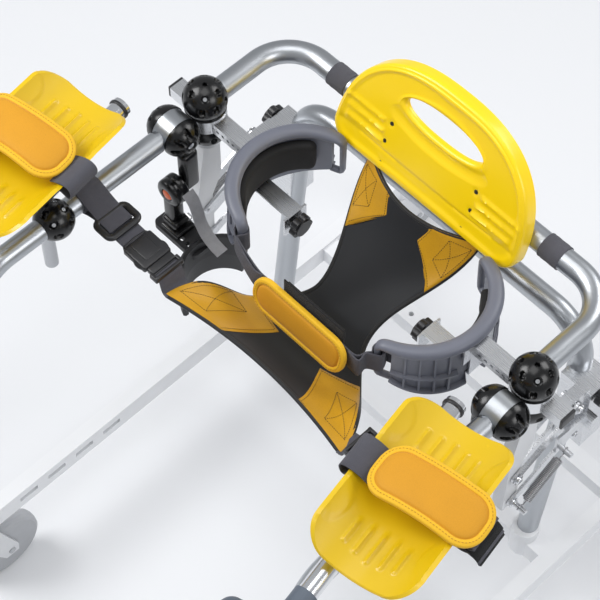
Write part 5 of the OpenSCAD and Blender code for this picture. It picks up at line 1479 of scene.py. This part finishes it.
def make_stage():
    """The world, the floor, the softboxes and the camera at the photo's angle."""
    make_world()
    scene, mesh = bpy.context.scene, bpy.data.meshes.new("floor")
    corners = ((-1, -1), (1, -1), (1, 1), (-1, 1))
    mesh.from_pydata([(FLOOR_HALF * x, FLOOR_HALF * y, 0) for x, y in corners], [], [(0, 1, 2, 3)])
    mesh.materials.append(make_floor_paint())
    floor = bpy.data.objects.new("floor", mesh)
    scene.collection.objects.link(floor)
    floor.location.z = -FLOOR_LOW
    for name, spot, target, size, watts in SOFTBOXES:
        data = bpy.data.lights.new(name, "AREA")
        data.shape, data.size, data.energy = "SQUARE", size, watts
        lamp = bpy.data.objects.new(name, data)
        lamp.location = spot
        lamp.rotation_euler = (Vector(target) - Vector(spot)).to_track_quat("-Z", "Y").to_euler()
        scene.collection.objects.link(lamp)
    data = bpy.data.cameras.new("photo camera")
    data.lens, data.sensor_width = LENS, SENSOR
    camera = bpy.data.objects.new("photo camera", data)
    camera.location = CAMERA_AT
    camera.rotation_euler = (math.radians(CAMERA_TILT), 0, math.radians(CAMERA_TURN))
    scene.collection.objects.link(camera)
    scene.camera = camera
    scene.view_settings.view_transform = "Standard"


# Operators
class GAIT_OT_finish_frame(bpy.types.Operator):
    """Gives every CAD solid that stays in view its finish."""

    bl_idname = "gait.finish_frame"
    bl_label = "Frame finishes"

    def execute(self, context):
        finish_frame()
        return {"FINISHED"}


class GAIT_OT_back_panel(bpy.types.Operator):
    """Builds the moulded back panel and its screw heads."""

    bl_idname = "gait.back_panel"
    bl_label = "Back panel"

    def execute(self, context):
        make_back_panel()
        make_panel_screws()
        return {"FINISHED"}


class GAIT_OT_gutters(bpy.types.Operator):
    """Builds both gutters with their pads and their webbing."""

    bl_idname = "gait.gutters"
    bl_label = "Forearm gutters"

    def execute(self, context):
        for side in SIDES:
            make_gutter(side)
            make_gutter_pad(side)
            make_gutter_webbing(side)
        return {"FINISHED"}


class GAIT_OT_sling(bpy.types.Operator):
    """Builds the neoprene sling with its bound edge and its leather corners."""

    bl_idname = "gait.sling"
    bl_label = "Sling"

    def execute(self, context):
        make_sling()
        return {"FINISHED"}


class GAIT_OT_sling_straps(bpy.types.Operator):
    """Builds the sling's webbing, the right strap's tri-glide and the buckles."""

    bl_idname = "gait.sling_straps"
    bl_label = "Sling straps"

    def execute(self, context):
        make_sling_straps()
        make_buckles()
        return {"FINISHED"}


class GAIT_OT_trunk_supports(bpy.types.Operator):
    """Builds the foam and the moulded shells of both trunk supports."""

    bl_idname = "gait.trunk_supports"
    bl_label = "Trunk supports"

    def execute(self, context):
        for side in SIDES:
            make_trunk_pad(side)
            make_trunk_shell(side)
        return {"FINISHED"}


class GAIT_OT_front_strap(bpy.types.Operator):
    """Builds the front strap with its pad and hook tape."""

    bl_idname = "gait.front_strap"
    bl_label = "Front strap"

    def execute(self, context):
        make_front_strap()
        return {"FINISHED"}


class GAIT_OT_suspension(bpy.types.Operator):
    """Builds the springs, and the bolt heads and washers on the links."""

    bl_idname = "gait.suspension"
    bl_label = "Suspension"

    def execute(self, context):
        make_springs()
        make_link_hardware()
        return {"FINISHED"}


class GAIT_OT_clamps(bpy.types.Operator):
    """Builds the clamps' pitted mouldings, chrome screws and end plugs."""

    bl_idname = "gait.clamps"
    bl_label = "Clamps"

    def execute(self, context):
        make_clamp_shells()
        for side in SIDES:
            make_gutter_ball(side)
        make_clamp_details()
        return {"FINISHED"}


class GAIT_OT_sleeves(bpy.types.Operator):
    """Builds the woven sleeves on the upper loop."""

    bl_idname = "gait.sleeves"
    bl_label = "Loop sleeves"

    def execute(self, context):
        make_sleeves()
        return {"FINISHED"}


class GAIT_OT_thigh_straps(bpy.types.Operator):
    """Builds the thigh guides' arms and webbing."""

    bl_idname = "gait.thigh_guides"
    bl_label = "Thigh guides"

    def execute(self, context):
        for side in SIDES:
            make_thigh_arm(side)
        make_thigh_straps()
        return {"FINISHED"}


class GAIT_OT_wheels(bpy.types.Operator):
    """Builds the castors' hub rings."""

    bl_idname = "gait.wheels"
    bl_label = "Wheels"

    def execute(self, context):
        make_wheels()
        return {"FINISHED"}


class GAIT_OT_stage(bpy.types.Operator):
    """Builds the floor, the lights and the photo's camera."""

    bl_idname = "gait.stage"
    bl_label = "Stage"

    def execute(self, context):
        make_stage()
        return {"FINISHED"}


OPERATORS = (
    GAIT_OT_finish_frame,
    GAIT_OT_back_panel,
    GAIT_OT_gutters,
    GAIT_OT_sling,
    GAIT_OT_sling_straps,
    GAIT_OT_trunk_supports,
    GAIT_OT_front_strap,
    GAIT_OT_suspension,
    GAIT_OT_clamps,
    GAIT_OT_sleeves,
    GAIT_OT_thigh_straps,
    GAIT_OT_wheels,
    GAIT_OT_stage,
)


class GAIT_PT_panel(bpy.types.Panel):
    """Lists the gait trainer's pieces in the sidebar."""

    bl_idname = "GAIT_PT_panel"
    bl_label = "Gait Trainer"
    bl_space_type = "VIEW_3D"
    bl_region_type = "UI"
    bl_category = "Gait Trainer"

    def draw(self, context):
        layout = self.layout
        for group in (context.scene.gait_sizes, context.scene.gait_colours):
            box = layout.box()
            for key in group.__annotations__:
                box.prop(group, key)
        column = layout.column(align=True)
        for kind in OPERATORS:
            column.operator(kind.bl_idname)


CLASSES = (GaitSizes, GaitColours, *OPERATORS, GAIT_PT_panel)


def register():
    for kind in CLASSES:
        bpy.utils.register_class(kind)
    bpy.types.Scene.gait_sizes = PointerProperty(type=GaitSizes)
    bpy.types.Scene.gait_colours = PointerProperty(type=GaitColours)


def unregister():
    del bpy.types.Scene.gait_colours
    del bpy.types.Scene.gait_sizes
    for kind in reversed(CLASSES):
        bpy.utils.unregister_class(kind)


def main():
    register()
    make_finishes(bpy.context.scene.gait_colours)
    for kind in OPERATORS:
        group, name = kind.bl_idname.split(".")
        getattr(getattr(bpy.ops, group), name)()


if __name__ == "__main__":
    main()
